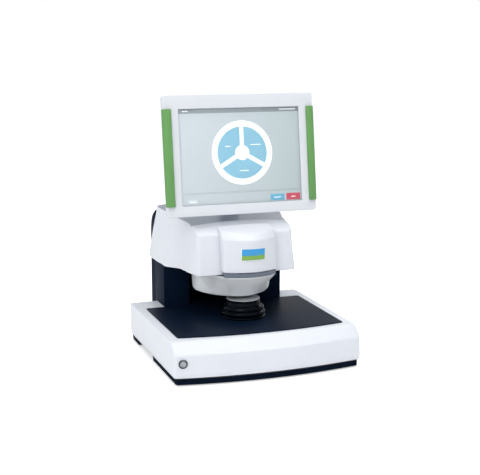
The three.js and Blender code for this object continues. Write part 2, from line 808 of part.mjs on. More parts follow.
// A steel portal: a plate that carries the optics and the mast, on two legs that stand on the posts.
const legInner = 82;
const legThick = 6;
const legFootReach = 30.5;
const chassisLegs = [-1, 1].flatMap((side) => {
  const leg = [side * legInner, side * (legInner + legThick)].sort((a, b) => a - b);
  const footInner = postInner + 1;
  const foot = [side * footInner, side * (footInner + legFootReach - 1)].sort((a, b) => a - b);
  const footBottomZ = postTopZ + gap;
  return [
    block(leg, [postFrontY + 5, postBackY - 15], [footBottomZ, chassisZ + 1]),
    block(foot, [postFrontY + 2, postBackY - 12], [footBottomZ, footBottomZ + chassisThick]),
  ];
});
const chassisHalf = legInner + legThick + 6;
const chassisY = [-5, postBackY - 12];
add('optics_chassis', joined(
  block([-chassisHalf, chassisHalf], chassisY, [chassisZ, chassisZ + chassisThick]),
  ...chassisLegs,
), steel);

const lampBottomZ = floorZ + 2 + gap;
const lampTopZ = chassisZ - gap;
const lampPlace = [0, windowY];
add('lamp_holder', turned([
  [18, lampBottomZ],
  [24, lampBottomZ],
  [24, lampBottomZ + 4],
  [21, lampBottomZ + 6],
  [21, lampTopZ],
  [0, lampTopZ],
  [0, lampTopZ - 4],
  [18, lampTopZ - 10],
  [18, lampBottomZ],
], lampPlace, 20).add(block([-60, 60], [windowY - 11, windowY + 11], [lampTopZ - 3, lampTopZ])), aluminium);
add('lamp_bulb', turned([
  [0, lampTopZ - 34],
  [6, lampTopZ - 30],
  [7, lampTopZ - 22],
  [5, lampTopZ - 14],
  [4, lampTopZ - 11],
  [0, lampTopZ - 11],
], lampPlace, 16), glass);

const spectroX = [-45, 45];
const spectroY = [52, panelY - 4];
const spectroZ = [floorZ + 4, chassisZ - 6];
const inside = (range, by) => [range[0] + by, range[1] - by];
add('spectrometer_case', cut(
  block(spectroX, spectroY, spectroZ),
  block(inside(spectroX, wall), inside(spectroY, wall), inside(spectroZ, wall)),
  bar('y', 6, spectroY[0] - 1, spectroY[0] + wall + 1, [0, (spectroZ[0] + spectroZ[1]) / 2], 16),
), castGrey);
const gratingZ = headBottomZ + 17.5;
const opticDepth = 9;         // of the grating and of the detector, from the case's wall
add('diffraction_grating', block(
  [-14, 14],
  [spectroY[1] - wall - opticDepth, spectroY[1] - wall - gap],
  [gratingZ, gratingZ + 28],
), chrome);
add('detector_array', block(
  [25, 38],
  [spectroY[0] + wall + gap, spectroY[0] + wall + opticDepth],
  [gratingZ + 6, gratingZ + 22],
), black);

// ---- screen, in its own frame: the hinge axis is its origin, the face looks to -Y ----
const screen = new THREE.Group();
screen.position.set(0, pivotY, pivotZ);
screen.rotation.x = -screenTilt * degrees;
analyser.add(screen);

const faceY = -pivotDepth;
const bezelBackY = faceY + bezelDepth;
const halfTall = screenHeight / 2;
const viewZ = -viewDrop;
const opening = (spare) => roundedRectangle(
  viewWidth / 2 + spare,
  viewZ - viewHeight / 2 - spare,
  viewZ + viewHeight / 2 + spare,
  1.2,
  1,
);
const bezelEdge = 1.5;
const frame = (inset) => roundedRectangle(screenWidth / 2 - inset, -halfTall + inset, halfTall - inset, 5);
add('monitor_bezel', cut(
  joined(
    alongY(frame(bezelEdge), faceY, bezelBackY),
    alongY(frame(0), faceY + bezelEdge, bezelBackY),
  ),
  alongY(opening(0.8), faceY - 1, bezelBackY + 1),
  alongY(opening(7), faceY + lipDepth, bezelBackY + 1),
), white, screen);
const glassY = faceY + lipDepth + gap;
const glassThick = 1.4;
add('touch_glass', alongY(opening(6.5), glassY, glassY + glassThick), glass, screen);
const panelFrontY = glassY + glassThick + gap;
add('lcd_panel', alongY(opening(5), panelFrontY, bezelBackY - gap), display, screen);

const rearFrontY = bezelBackY + gap;
const rearBackY = rearFrontY + rearDepth;
const rearRing = (inset, y, wallInset) => roundedRectangle(
  screenWidth / 2 - inset - wallInset, -halfTall + inset + wallInset, halfTall - inset - wallInset, 5,
).map((p) => new THREE.Vector3(p.x, y, p.y));
const rearForm = (wallInset, startY, endY) => loft([
  rearRing(0, startY, wallInset),
  rearRing(0.8, rearFrontY + 8, wallInset),
  rearRing(16, endY, wallInset),
], (p) => point(p.z, p.x));
const ventSlots = [];
for (let i = 0; i < 9; i += 1) {
  const x = -48 + 12 * i;
  ventSlots.push(block([x - 3, x + 3], [rearBackY - 6, rearBackY + 1], [62, 84]));
}
add('monitor_rear_housing', cut(
  rearForm(0, rearFrontY, rearBackY),
  rearForm(2.5, rearFrontY - 1, rearBackY - 2.5),
  ...ventSlots,
), white, screen);

const gripOuter = screenWidth / 2 + gripOverhang;
const gripInner = gripOuter - gripReach;
const gripOutline = [
  point(gripInner, faceY - gap),
  point(gripInner, faceY - gripForward + 2.2),
  point(gripInner + 2.2, faceY - gripForward),
  point(gripOuter - 5.5, faceY - gripForward),
  point(gripOuter - 1.4, faceY - gripForward + 3.6),
  point(gripOuter, faceY + 1),
  point(gripOuter, faceY + gripDepth - 1.5),
  point(gripOuter - 0.8, faceY + gripDepth),
  point(screenWidth / 2 + gap, faceY + gripDepth),
  point(screenWidth / 2 + gap, faceY - gap),
];
const gripLow = -gripDrop - gripLength / 2;
for (const [side, name] of [[-1, 'grip_left'], [1, 'grip_right']]) {
  const outline = gripOutline.map((p) => point(side * p.x, p.y));
  add(name, alongZ(outline, gripLow, gripLow + gripLength), green, screen);
}

// hinge: two ears on the screen, a knuckle on the mast, a pin with friction washers
const knuckleRadius = 9;
const earInner = mastHalf + 2 * gap + washerThick;
const earOuter = earInner + earThick;
const blockFrontY = rearBackY + gap;
const ear = (side) => cut(
  joined(
    bar('x', knuckleRadius, ...[side * earInner, side * earOuter].sort((a, b) => a - b), [0, 0], 24),
    block(
      [side * earInner, side * earOuter].sort((a, b) => a - b),
      [blockFrontY, 0],
      [-knuckleRadius, knuckleRadius],
    ),
  ),
  bar('x', pinRadius + gap, -100, 100, [0, 0]),
);
add('hinge_block', joined(
  ear(-1),
  ear(1),
  block([-earOuter, earOuter], [blockFrontY, blockFrontY + 2.2], [-34, 34]),
), steel, screen);
add('tilt_pin', bar('x', pinRadius, -earOuter - 2, earOuter + 2, [0, 0]), steel, screen);
for (const [side, name] of [[-1, 'friction_washer_left'], [1, 'friction_washer_right']]) {
  const faces = [side * (mastHalf + gap), side * (mastHalf + gap + washerThick)].sort((a, b) => a - b);
  add(name, cut(
    bar('x', knuckleRadius - 1, ...faces, [0, 0]),
    bar('x', pinRadius + gap, -100, 100, [0, 0]),
  ), steel, screen);
}

const mastTopZ = roofAt(0, mastFrontY) + 22;
add('monitor_mast', cut(
  joined(
    alongX([
      point(mastFrontY, chassisZ + chassisThick + gap),
      point(mastBackY, chassisZ + chassisThick + gap),
      point(mastBackY, mastTopZ),
      point(pivotY + knuckleRadius, pivotZ + 2),
      point(pivotY - 1, pivotZ + knuckleRadius - 0.5),
      point(pivotY - knuckleRadius + 1, pivotZ - 3),
      point(mastFrontY, mastTopZ - 8),
    ], -mastHalf, mastHalf),
    bar('x', knuckleRadius, -mastHalf, mastHalf, [pivotY, pivotZ], 24),
  ),
  bar('x', pinRadius + gap, -mastHalf - 1, mastHalf + 1, [pivotY, pivotZ]),
), white);

// ---- rear cover and its services ----
const rearLean = (z) => {
  const [low, high] = headPlans;
  const lowY = low.half[low.half.length - 1][1];
  const highY = high.half[high.half.length - 1][1];
  return lowY + ((highY - lowY) * (z - low.z)) / (high.z - low.z);
};
const coverTopZ = headBottomZ + 99.5;
const coverOutline = (inset) => [
  point(baseBackY + gap + inset, coverBottomZ + inset),
  point(coverBackY - inset, coverBottomZ + inset),
  point(coverBackY - inset, headBottomZ + 58.5),
  point(coverBackY - 8 - inset, headBottomZ + 83.5),
  point(rearLean(coverTopZ) + 1 + inset, coverTopZ - inset),
  point(rearLean(headBottomZ) + 1 + inset, headBottomZ - 1 - inset),
  point(postBackY + gap + inset, headBottomZ - 1 - inset),
  point(postBackY + gap + inset, baseTopZ - inset),
  point(baseBackY + gap + inset, baseTopZ - inset),
];
const backWall = [coverBackY - coverWall - 1, coverBackY + 1];
const fanSlots = [];
for (let i = 0; i < 7; i += 1) {
  const z = fanZ - 24 + 8 * i;
  const reach = Math.sqrt(27 ** 2 - (z - fanZ) ** 2);
  fanSlots.push(block([fanX - reach, fanX + reach], backWall, [z - 2.5, z + 2.5]));
}
const usbPlaces = [0, 1, 2, 3].map((i) => [socketsX + 20 * i, inletZ]);
const usbSize = [14, 7];
const lanPlace = [socketsX + 82, inletZ + 2];
const lanSize = [16, 13];
const inletSize = [30, 24];
const rockerX = inletX + 30;
const rockerSize = [14, 22];
const hole = ([x, z], [w, h], room) => block(
  [x - w / 2 - room, x + w / 2 + room],
  backWall,
  [z - h / 2 - room, z + h / 2 + room],
);
add('rear_cover', cut(
  alongX(coverOutline(0), -columnHalf, columnHalf),
  alongX(coverOutline(coverWall), -columnHalf + coverWall, columnHalf - coverWall),
  ...fanSlots,
  ...usbPlaces.map((place) => hole(place, usbSize, gap)),
  hole(lanPlace, lanSize, gap),
  hole([inletX + 16, inletZ], [66, 30], gap),
), navy);

// A metal socket shell that opens to the rear.
const socket = ([x, z], [w, h], depth, rim) => cut(
  block([x - w / 2, x + w / 2], [coverBackY - depth, coverBackY - gap], [z - h / 2, z + h / 2]),
  block(
    [x - w / 2 + rim, x + w / 2 - rim],
    [coverBackY - depth + 2, coverBackY + 1],
    [z - h / 2 + rim, z + h / 2 - rim],
  ),
);
const usbBoard = block(
  [usbPlaces[0][0] - usbSize[0] / 2, usbPlaces[3][0] + usbSize[0] / 2],
  [coverBackY - 16, coverBackY - 13],
  [inletZ - usbSize[1] / 2 - 2, inletZ + usbSize[1] / 2 + 2],
);
add('usb_sockets', joined(usbBoard, ...usbPlaces.map((place) => socket(place, usbSize, 14, 0.8))), steel);
add('lan_socket', socket(lanPlace, lanSize, 16, 1.2), steel);

const pinBlades = [-7, 0, 7].map((x, i) => block(
  [inletX + x - 1, inletX + x + 1],
  [coverBackY - 19, coverBackY - 4],
  [inletZ + (i === 1 ? 1 : -3), inletZ + (i === 1 ? 5 : 1)],
));
const rockerHole = block(
  [rockerX - rockerSize[0] / 2 - 0.5, rockerX + rockerSize[0] / 2 + 0.5],
  [coverBackY - 12, coverBackY + 1],
  [inletZ - rockerSize[1] / 2 - 0.5, inletZ + rockerSize[1] / 2 + 0.5],
);
add('mains_inlet', joined(
  cut(
    block([inletX - 17, inletX + 49], [coverBackY - 20, coverBackY - gap], [inletZ - 15, inletZ + 15]),
    block(
      [inletX - inletSize[0] / 2 + 1, inletX + inletSize[0] / 2 - 1],
      [coverBackY - 17, coverBackY + 1],
      [inletZ - inletSize[1] / 2 + 1, inletZ + inletSize[1] / 2 - 1],
    ),
    rockerHole,
  ),
  ...pinBlades,
), black);
const rockerPivotY = coverBackY - 6;
const rockerRest = 7;         // degrees, switched off
const rocker = add('mains_rocker', alongX([
  point(-4, -3),
  point(-4, 3),
  point(2.5, rockerSize[1] / 2 - 0.6),
  point(4.6, rockerSize[1] / 2 - 0.9),
  point(3.4, 0),
  point(4.6, -rockerSize[1] / 2 + 0.9),
  point(2.5, -rockerSize[1] / 2 + 0.6),
], rockerX - rockerSize[0] / 2, rockerX + rockerSize[0] / 2), black);
rocker.position.set(0, rockerPivotY, inletZ);
rocker.rotation.x = rockerRest * degrees;

const fanBackY = coverBackY - coverWall - gap;
const fanRing = [fanBackY - fanDepth, fanBackY];
add('fan_frame', cut(
  joined(
    cut(
      block([fanX - fanSide / 2, fanX + fanSide / 2], fanRing, [fanZ - fanSide / 2, fanZ + fanSide / 2]),
      bar('y', fanSide / 2 - 2, fanRing[0] - 1, fanRing[1] + 1, [fanX, fanZ], 28),
    ),
    block(
      [fanX - fanSide / 2 + 1, fanX + fanSide / 2 - 1],
      [fanRing[0], fanRing[0] + 2],
      [fanZ - 2, fanZ + 2],
    ),
    bar('y', 11, fanRing[0], fanRing[0] + 2, [fanX, fanZ]),
  ),
), black);
const blades = [];
for (let i = 0; i < 7; i += 1) {
  const geometry = new THREE.BoxGeometry(18, 1.2, 10);
  geometry.rotateX(38 * degrees);
  geometry.translate(17.5, 0, 0);
  geometry.rotateY((i * 2 * Math.PI) / 7);
  geometry.translate(fanX, (fanRing[0] + fanRing[1]) / 2 + 2, fanZ);
  blades.push(toSolid(geometry));
}
add('fan_rotor', joined(
  bar('y', 11, fanRing[0] + 2 + gap, fanRing[1] - 1, [fanX, fanZ]),
  ...blades,
), black);

// The origin is on the floor, midway between the front of the bowed base and the rear cover.
const frontmostY = baseFrontY - baseBow;
analyser.position.y = -(frontmostY + coverBackY) / 2;

export default analyser;
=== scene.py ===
import math

import bmesh
import bpy
import numpy as np
from mathutils import Matrix, Vector


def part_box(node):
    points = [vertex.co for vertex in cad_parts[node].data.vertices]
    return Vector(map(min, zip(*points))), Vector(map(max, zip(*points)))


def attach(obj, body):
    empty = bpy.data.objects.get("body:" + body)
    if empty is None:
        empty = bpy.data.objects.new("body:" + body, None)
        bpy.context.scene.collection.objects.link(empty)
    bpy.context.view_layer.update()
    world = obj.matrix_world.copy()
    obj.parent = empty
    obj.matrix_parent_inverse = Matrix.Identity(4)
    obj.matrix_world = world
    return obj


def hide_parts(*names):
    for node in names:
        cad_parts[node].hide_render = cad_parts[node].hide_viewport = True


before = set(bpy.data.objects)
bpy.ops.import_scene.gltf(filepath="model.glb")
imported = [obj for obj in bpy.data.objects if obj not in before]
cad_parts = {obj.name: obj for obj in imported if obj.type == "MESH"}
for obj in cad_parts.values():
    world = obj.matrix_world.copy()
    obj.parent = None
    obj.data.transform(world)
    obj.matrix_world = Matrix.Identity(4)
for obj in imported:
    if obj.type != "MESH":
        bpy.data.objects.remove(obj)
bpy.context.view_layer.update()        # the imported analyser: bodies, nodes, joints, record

mm = 0.001


# On the bench, y = 0 is under the middle of the base.
def middleOf(node):
    low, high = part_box(node)
    return (low + high) / 2


spindleY = -15.0         # the turntable's axis on the bench
benchShift = middleOf("turntable_shaft").y / mm - spindleY
benchPlace = Matrix.Translation((0, benchShift * mm, 0)) @ Matrix.Scale(mm, 4)
pivot = middleOf("tilt_pin")
screenLean = math.radians(7.9)      # the screen's top leans back
screenPlace = (Matrix.Translation(pivot) @ Matrix.Rotation(-screenLean, 4, "X")
               @ Matrix.Scale(mm, 4))


# Shapes are worked out in millimetres, and a place brings them to metres.
def newPiece(name, verts, faces, place=benchPlace, sharp=35):
    mesh = bpy.data.meshes.new(name)
    mesh.from_pydata([tuple(v) for v in verts], [], [tuple(f) for f in faces])
    mesh.transform(place)
    mesh.validate()
    obj = bpy.data.objects.new(name, mesh)
    bpy.context.scene.collection.objects.link(obj)
    outward(obj)
    soften(obj, sharp)
    return obj


def outward(obj):        # all faces out, whichever way they were wound
    work = bmesh.new()
    work.from_mesh(obj.data)
    bmesh.ops.remove_doubles(work, verts=work.verts, dist=0.002 * mm)
    bmesh.ops.recalc_face_normals(work, faces=work.faces)
    work.to_mesh(obj.data)
    work.free()


def soften(obj, sharp=35):
    obj.data.polygons.foreach_set("use_smooth", [True] * len(obj.data.polygons))
    obj.data.set_sharp_from_angle(angle=math.radians(sharp))


def skin(rings, ends=True, around=False):
    count = len(rings[0])
    verts = [p for ring in rings for p in ring]
    faces = []
    total = len(rings)
    for i in range(total if around else total - 1):
        a, b = i * count, ((i + 1) % total) * count
        for k in range(count):
            n = (k + 1) % count
            faces.append((a + k, a + n, b + n, b + k))
    if ends and not around:
        faces.append(tuple(reversed(range(count))))
        faces.append(tuple((total - 1) * count + k for k in range(count)))
    return verts, faces


def offsetOutline(outline, inset):      # moves each side of a flat outline inwards
    pts = np.array(outline, float)
    ahead = np.roll(pts, -1, 0) - pts
    ahead /= np.linalg.norm(ahead, axis=1)[:, None] + 1e-12
    behind = np.roll(ahead, 1, 0)
    normal = np.stack([-(ahead + behind)[:, 1], (ahead + behind)[:, 0]], 1)
    normal /= np.linalg.norm(normal, axis=1)[:, None] + 1e-12
    lean = np.clip((normal * np.stack([-ahead[:, 1], ahead[:, 0]], 1)).sum(1), 0.35, 1)
    area = 0.5 * np.sum(pts[:, 0] * np.roll(pts[:, 1], -1) - np.roll(pts[:, 0], -1) * pts[:, 1])
    return pts + normal * (inset / lean * np.sign(area))[:, None]


def roundedSlab(outline, low, high, radius, axis="z", steps=4, topRadius=None):
    top = radius if topRadius is None else topRadius
    levels = [(low + radius * (1 - math.cos(math.pi / 2 * i / steps)),
               radius * (1 - math.sin(math.pi / 2 * i / steps))) for i in range(steps + 1)]
    levels += [(high - top * (1 - math.cos(math.pi / 2 * i / steps)),
                top * (1 - math.sin(math.pi / 2 * i / steps))) for i in range(steps, -1, -1)]
    rings = []
    for at, inset in levels:
        flat = offsetOutline(outline, inset)
        if axis == "z":
            rings.append([(u, v, at) for u, v in flat])
        elif axis == "x":
            rings.append([(at, u, v) for u, v in flat])
        else:
            rings.append([(u, at, v) for u, v in flat])
    return skin(rings)


def arc(cx, cy, radius, start, end, steps):
    turns = np.radians(np.linspace(start, end, steps + 1))
    return [(cx + radius * math.cos(t), cy + radius * math.sin(t)) for t in turns]


def roundRect(left, right, low, high, radius, steps=6):
    return (arc(left + radius, low + radius, radius, 180, 270, steps)
            + arc(right - radius, low + radius, radius, 270, 360, steps)
            + arc(right - radius, high - radius, radius, 0, 90, steps)
            + arc(left + radius, high - radius, radius, 90, 180, steps))


# The radius is one number, or one for each point.
def roundCorners(points, radius, steps=4, closedUp=True):
    pts = [Vector((p[0], p[1])) for p in points]
    radii = radius if isinstance(radius, (list, tuple)) else [radius] * len(pts)
    made = []
    for i, p in enumerate(pts):
        if not closedUp and i in (0, len(pts) - 1):
            made.append(tuple(p))
            continue
        before, after = pts[i - 1] - p, pts[(i + 1) % len(pts)] - p
        reach = min(radii[i], before.length * 0.45, after.length * 0.45)
        if reach < 0.01:
            made.append(tuple(p))
            continue
        start, end = p + before.normalized() * reach, p + after.normalized() * reach
        for s in range(steps + 1):
            t = s / steps
            q = start * (1 - t) ** 2 + p * (2 * t * (1 - t)) + end * t ** 2
            made.append(tuple(q))
    return made


def turnedPiece(name, profile, centre, steps=128, place=benchPlace, sharp=50, round=0.0):
    pts = roundCorners(profile, round, 3) if round else profile
    rings = []
    for i in range(steps):
        t = 2 * math.pi * i / steps
        across, along = math.cos(t), math.sin(t)
        rings.append([(centre[0] + r * across, centre[1] + r * along, z) for r, z in pts])
    verts, faces = skin(rings, ends=False, around=True)
    return newPiece(name, verts, faces, place, sharp)


def bowAt(x, half, endY, bow):
    return endY - bow * (1 - (x / half) ** 2)


def bowedOutline(half, backY, frontY, bow, corner, steps=48, cornerSteps=7):
    inner = half - corner
    cornerY = bowAt(inner, half, frontY, bow) + corner
    front = [(x, bowAt(x, half, frontY, bow)) for x in np.linspace(-inner, inner, steps + 1)[1:-1]]
    return (arc(-inner, cornerY, corner, 180, 270, cornerSteps) + front
            + arc(inner, cornerY, corner, 270, 360, cornerSteps)
            + arc(inner, backY - corner, corner, 0, 90, cornerSteps)
            + arc(-inner, backY - corner, corner, 90, 180, cornerSteps))


def carve(obj, tool, operation="DIFFERENCE"):
    mod = obj.modifiers.new("cut", "BOOLEAN")
    mod.object, mod.operation, mod.solver = tool, operation, "MANIFOLD"
    applyModifiers(obj)
    bpy.data.objects.remove(tool)


def cutAway(obj, *cutters):
    for cutter in cutters:
        carve(obj, cutter)
    soften(obj)
    return obj


def applyModifiers(obj):
    graph = bpy.context.evaluated_depsgraph_get()
    made = bpy.data.meshes.new_from_object(obj.evaluated_get(graph))
    obj.modifiers.clear()
    obj.data = made


def box(x, y, z, name="cutter"):
    corners = [(x[i], y[j], z[k]) for i in (0, 1) for j in (0, 1) for k in (0, 1)]
    faces = [(0, 1, 3, 2), (4, 6, 7, 5), (0, 4, 5, 1), (2, 3, 7, 6), (0, 2, 6, 4), (1, 5, 7, 3)]
    return newPiece(name, corners, faces)


# A smooth closed surface where field(x, y, z) is zero, negative inside. Lengths in millimetres.
def moulded(name, field, low, high, step):
    axes = [np.arange(low[i], high[i] + step, step) for i in range(3)]
    grid = np.meshgrid(*axes, indexing="ij")
    value = field(*grid)
    inside = value < 0
    shape = np.array(value.shape)
    cells = shape - 1
    total, count = np.zeros((*cells, 3)), np.zeros(cells)
    corners = [(i, j, k) for i in (0, 1) for j in (0, 1) for k in (0, 1)]
    for a in corners:
        for axis in range(3):
            if a[axis]:
                continue
            b = tuple(c + (n == axis) for n, c in enumerate(a))
            sa = tuple(slice(a[n], a[n] + cells[n]) for n in range(3))
            sb = tuple(slice(b[n], b[n] + cells[n]) for n in range(3))
            va, vb = value[sa], value[sb]
            cross = inside[sa] != inside[sb]
            share = np.where(cross, va / np.where(va == vb, 1, va - vb), 0)
            for n in range(3):
                total[..., n] += cross * (a[n] + (share if n == axis else 0))
            count += cross
    used = count > 0
    index = -np.ones(cells, int)
    index[used] = np.arange(used.sum())
    cell = np.argwhere(used)
    verts = np.array(low) + (cell + total[used] / count[used][:, None]) * step
    faces = []
    for axis in range(3):
        u, v = (axis + 1) % 3, (axis + 2) % 3
        first = tuple(slice(0, s - (n == axis)) for n, s in enumerate(shape))
        second = tuple(slice(n == axis, s) for n, s in enumerate(shape))
        edges = np.argwhere(inside[first] != inside[second])
        edges = edges[(edges[:, u] > 0) & (edges[:, v] > 0)
                      & (edges[:, u] < cells[u]) & (edges[:, v] < cells[v])]
        flip = inside[tuple(edges.T)]
        quad = []
        for du, dv in ((-1, -1), (0, -1), (0, 0), (-1, 0)):
            at = edges.copy()
            at[:, u] += du
            at[:, v] += dv
            quad.append(index[tuple(at.T)])
        quad = np.stack(quad, 1)
        quad[~flip] = quad[~flip][:, ::-1]
        faces.append(quad)
    faces = np.concatenate(faces)
    for _ in range(5):       # slides each point onto the surface
        here = field(*verts.T)
        reach = 0.05
        shifts = reach * np.eye(3)
        slope = np.stack([(field(*(verts + shift).T) - field(*(verts - shift).T)) / (2 * reach)
                          for shift in shifts], 1)
        size = (slope ** 2).sum(1) + 1e-6
        move = -(here / size)[:, None] * slope
        length = np.linalg.norm(move, axis=1)[:, None] + 1e-9
        verts = verts + move * np.minimum(1, 0.4 * step / length)
    return newPiece(name, verts.tolist(), faces.tolist(), sharp=40)


def blendMax(a, b, radius):      # the larger of two, rounded where they meet
    near = np.maximum(radius - np.abs(a - b), 0) / radius
    return np.maximum(a, b) + near * near * radius * 0.25


# Finishes
def srgb(*rgb):
    return [((c / 255 + 0.055) / 1.055) ** 2.4 if c > 10 else c / 255 / 12.92 for c in rgb] + [1]


def nodesOf(name):
    material = bpy.data.materials.new(name)
    material.use_nodes = True
    tree = material.node_tree
    return material, tree, tree.nodes["Principled BSDF"]


def link(tree, source, target):
    tree.links.new(source, target)


def grainOn(tree, size, stretch=(1, 1, 1), detail=3):
    coords = tree.nodes.new("ShaderNodeTexCoord")
    mapping = tree.nodes.new("ShaderNodeMapping")
    mapping.inputs["Scale"].default_value = stretch
    noise = tree.nodes.new("ShaderNodeTexNoise")
    noise.inputs["Scale"].default_value = 1 / (size * mm)
    noise.inputs["Detail"].default_value = detail
    link(tree, coords.outputs["Object"], mapping.inputs["Vector"])
    link(tree, mapping.outputs["Vector"], noise.inputs["Vector"])
    return noise.outputs["Fac"]


def spread(tree, source, low, high, fromLow=0.3, fromHigh=0.7):
    node = tree.nodes.new("ShaderNodeMapRange")
    node.inputs["From Min"].default_value = fromLow
    node.inputs["From Max"].default_value = fromHigh
    node.inputs["To Min"].default_value = low
    node.inputs["To Max"].default_value = high
    link(tree, source, node.inputs["Value"])
    return node.outputs["Result"]


def between(tree, share, first, second):
    node = tree.nodes.new("ShaderNodeMix")
    node.data_type = "RGBA"
    for at, value in ((6, first), (7, second)):
        if isinstance(value, (list, tuple)):
            node.inputs[at].default_value = value
        else:
            link(tree, value, node.inputs[at])
    link(tree, share, node.inputs[0])
    return node.outputs[2]


def bumpFrom(tree, height, depth):
    node = tree.nodes.new("ShaderNodeBump")
    node.inputs["Distance"].default_value = depth * mm
    link(tree, height, node.inputs["Height"])
    return node.outputs["Normal"]


# A paint, plastic or metal: fine grain for its gloss and bumps, and a broad drift of its colour.
def coated(name, colour, roughness, grain=0.7, depth=0.02, stretch=(1, 1, 1), vary=0.04, metallic=0.0,
           coat=0.0, coatRough=0.1, level=0.5, roughVary=0.05):
    material, tree, shader = nodesOf(name)
    shader.inputs["Metallic"].default_value = metallic
    shader.inputs["Coat Weight"].default_value = coat
    shader.inputs["Coat Roughness"].default_value = coatRough
    shader.inputs["Specular IOR Level"].default_value = level
    fine = grainOn(tree, grain, stretch)
    broad = spread(tree, grainOn(tree, 60, detail=2), 0, 1)
    darker = [c * (1 - vary) for c in colour[:3]] + [1]
    lighter = [min(1, c * (1 + vary)) for c in colour[:3]] + [1]
    link(tree, between(tree, broad, darker, lighter), shader.inputs["Base Color"])
    link(tree, spread(tree, fine, roughness - roughVary, roughness + roughVary), shader.inputs["Roughness"])
    link(tree, bumpFrom(tree, fine, depth), shader.inputs["Normal"])
    return material


# Metal cut on a lathe: rings about a centre on the bench.
def turnedMetal(name, colour, roughness, centre, ringSize=0.35, depth=0.01, metallic=1.0):
    material, tree, shader = nodesOf(name)
    shader.inputs["Metallic"].default_value = metallic
    coords = tree.nodes.new("ShaderNodeTexCoord")
    mapping = tree.nodes.new("ShaderNodeMapping")
    mapping.inputs["Location"].default_value = (-centre[0] * mm, -centre[1] * mm, 0)
    mapping.inputs["Scale"].default_value = (1, 1, 0)
    length = tree.nodes.new("ShaderNodeVectorMath")
    length.operation = "LENGTH"
    rings = tree.nodes.new("ShaderNodeTexNoise")
    rings.noise_dimensions = "1D"
    rings.inputs["Scale"].default_value = 1 / (ringSize * mm)
    link(tree, coords.outputs["Object"], mapping.inputs["Vector"])
    link(tree, mapping.outputs["Vector"], length.inputs[0])
    link(tree, length.outputs["Value"], rings.inputs["W"])
    lines = rings.outputs["Fac"]
    darker = [c * 0.88 for c in colour[:3]] + [1]
    link(tree, between(tree, spread(tree, lines, 0, 1), darker, colour), shader.inputs["Base Color"])
    link(tree, spread(tree, lines, roughness - 0.06, roughness + 0.08), shader.inputs["Roughness"])
    link(tree, bumpFrom(tree, lines, depth), shader.inputs["Normal"])
    return material


white = coated("whiteMoulding", srgb(221, 224, 231), 0.38, grain=0.8, depth=0.012, vary=0.012)
bezelWhite = coated("bezelMoulding", srgb(219, 222, 228), 0.36, grain=0.6, depth=0.01, vary=0.012)
# The lid's silvery grey is darker than the white shell: painted shade from the screen above.
shadedLidSilver = coated("silverPaintedShade", srgb(170, 177, 188), 0.30, grain=0.35, depth=0.004, vary=0.03, metallic=0.75,
                coat=0.3, coatRough=0.12)
bowlSilver = coated("bowlPaint", srgb(238, 242, 246), 0.30, grain=0.4, depth=0.005, vary=0.02, metallic=0.05)
bandSilver = coated("bandMetal", srgb(104, 111, 123), 0.14, grain=0.35, depth=0.003, stretch=(0.1, 0.1, 1),
                    vary=0.03, metallic=0.9)
navy = coated("navyPaint", srgb(13, 27, 47), 0.46, grain=0.5, depth=0.01, vary=0.12, level=0.015)
recessBlack = coated("recessBlack", srgb(1, 2, 8), 0.6, grain=0.5, depth=0.01, vary=0.10, level=0.02)
matBlue = coated("workMat", srgb(8, 21, 39), 0.40, grain=1.2, depth=0.01, vary=0.16, level=0.08)
glossBlack = coated("glossBlack", srgb(3, 6, 12), 0.10, grain=0.4, depth=0.002, vary=0.15, level=0.10,
                    roughVary=0.02)
plasticBlack = coated("plasticBlack", srgb(26, 27, 30), 0.5, grain=0.6, depth=0.02, vary=0.08)
rubberBlack = coated("footRubber", srgb(9, 20, 36), 0.75, grain=0.9, depth=0.05, vary=0.10, level=0.04)
darkSheet = coated("darkSheet", srgb(34, 37, 42), 0.55, grain=0.5, depth=0.03, vary=0.08, metallic=0.2)
brushed = coated("brushedSteel", srgb(168, 172, 177), 0.32, grain=0.5, depth=0.01, stretch=(0.06, 1, 1),
                 vary=0.05, metallic=1, roughVary=0.09)
ringChrome = coated("ringChrome", srgb(112, 117, 124), 0.12, grain=2.0, depth=0.002, vary=0.02, metallic=1,
                    roughVary=0.03)
chrome = coated("polishedChrome", srgb(222, 225, 228), 0.10, grain=2.0, depth=0.002, vary=0.02, metallic=1,
                roughVary=0.03)
alu = coated("brushedAluminium", srgb(196, 199, 203), 0.36, grain=0.4, depth=0.01, stretch=(1, 0.06, 1),
             vary=0.05, metallic=1, roughVary=0.08)
casting = coated("greyCasting", srgb(128, 133, 139), 0.62, grain=1.5, depth=0.12, vary=0.08, metallic=0.6)
gripGreen = coated("gripGreen", srgb(98, 152, 84), 0.55, grain=0.7, depth=0.035, vary=0.05)
board = coated("circuitBoard", srgb(32, 92, 62), 0.45, grain=2.2, depth=0.03, vary=0.25)
dishMetal = turnedMetal("turnedDish", srgb(226, 228, 231), 0.3, (0, spindleY + benchShift), metallic=0.45)
pulleyMetal = turnedMetal("turnedPulley", srgb(190, 193, 198), 0.3, (0, spindleY + benchShift))
glossShader = glossBlack.node_tree.nodes["Principled BSDF"]
glossShader.inputs["Specular Tint"].default_value = (0.72, 0.86, 1, 1)


def clearGlass(name, tint, alpha, rough=0.03):
    material, tree, shader = nodesOf(name)
    shader.inputs["Base Color"].default_value = tint
    shader.inputs["Alpha"].default_value = alpha
    shader.inputs["Coat Weight"].default_value = 0.5
    smear = grainOn(tree, 40, detail=4)
    link(tree, spread(tree, smear, rough, rough + 0.04), shader.inputs["Roughness"])
    return material


paneGlass = clearGlass("touchPane", srgb(225, 232, 236), 0.06)
lensGlass = clearGlass("opticalGlass", srgb(190, 210, 216), 0.35, 0.02)


def wear(node, material):       # a CAD piece that keeps its own shape
    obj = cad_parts[node]
    obj.data.materials.clear()
    obj.data.materials.append(material)


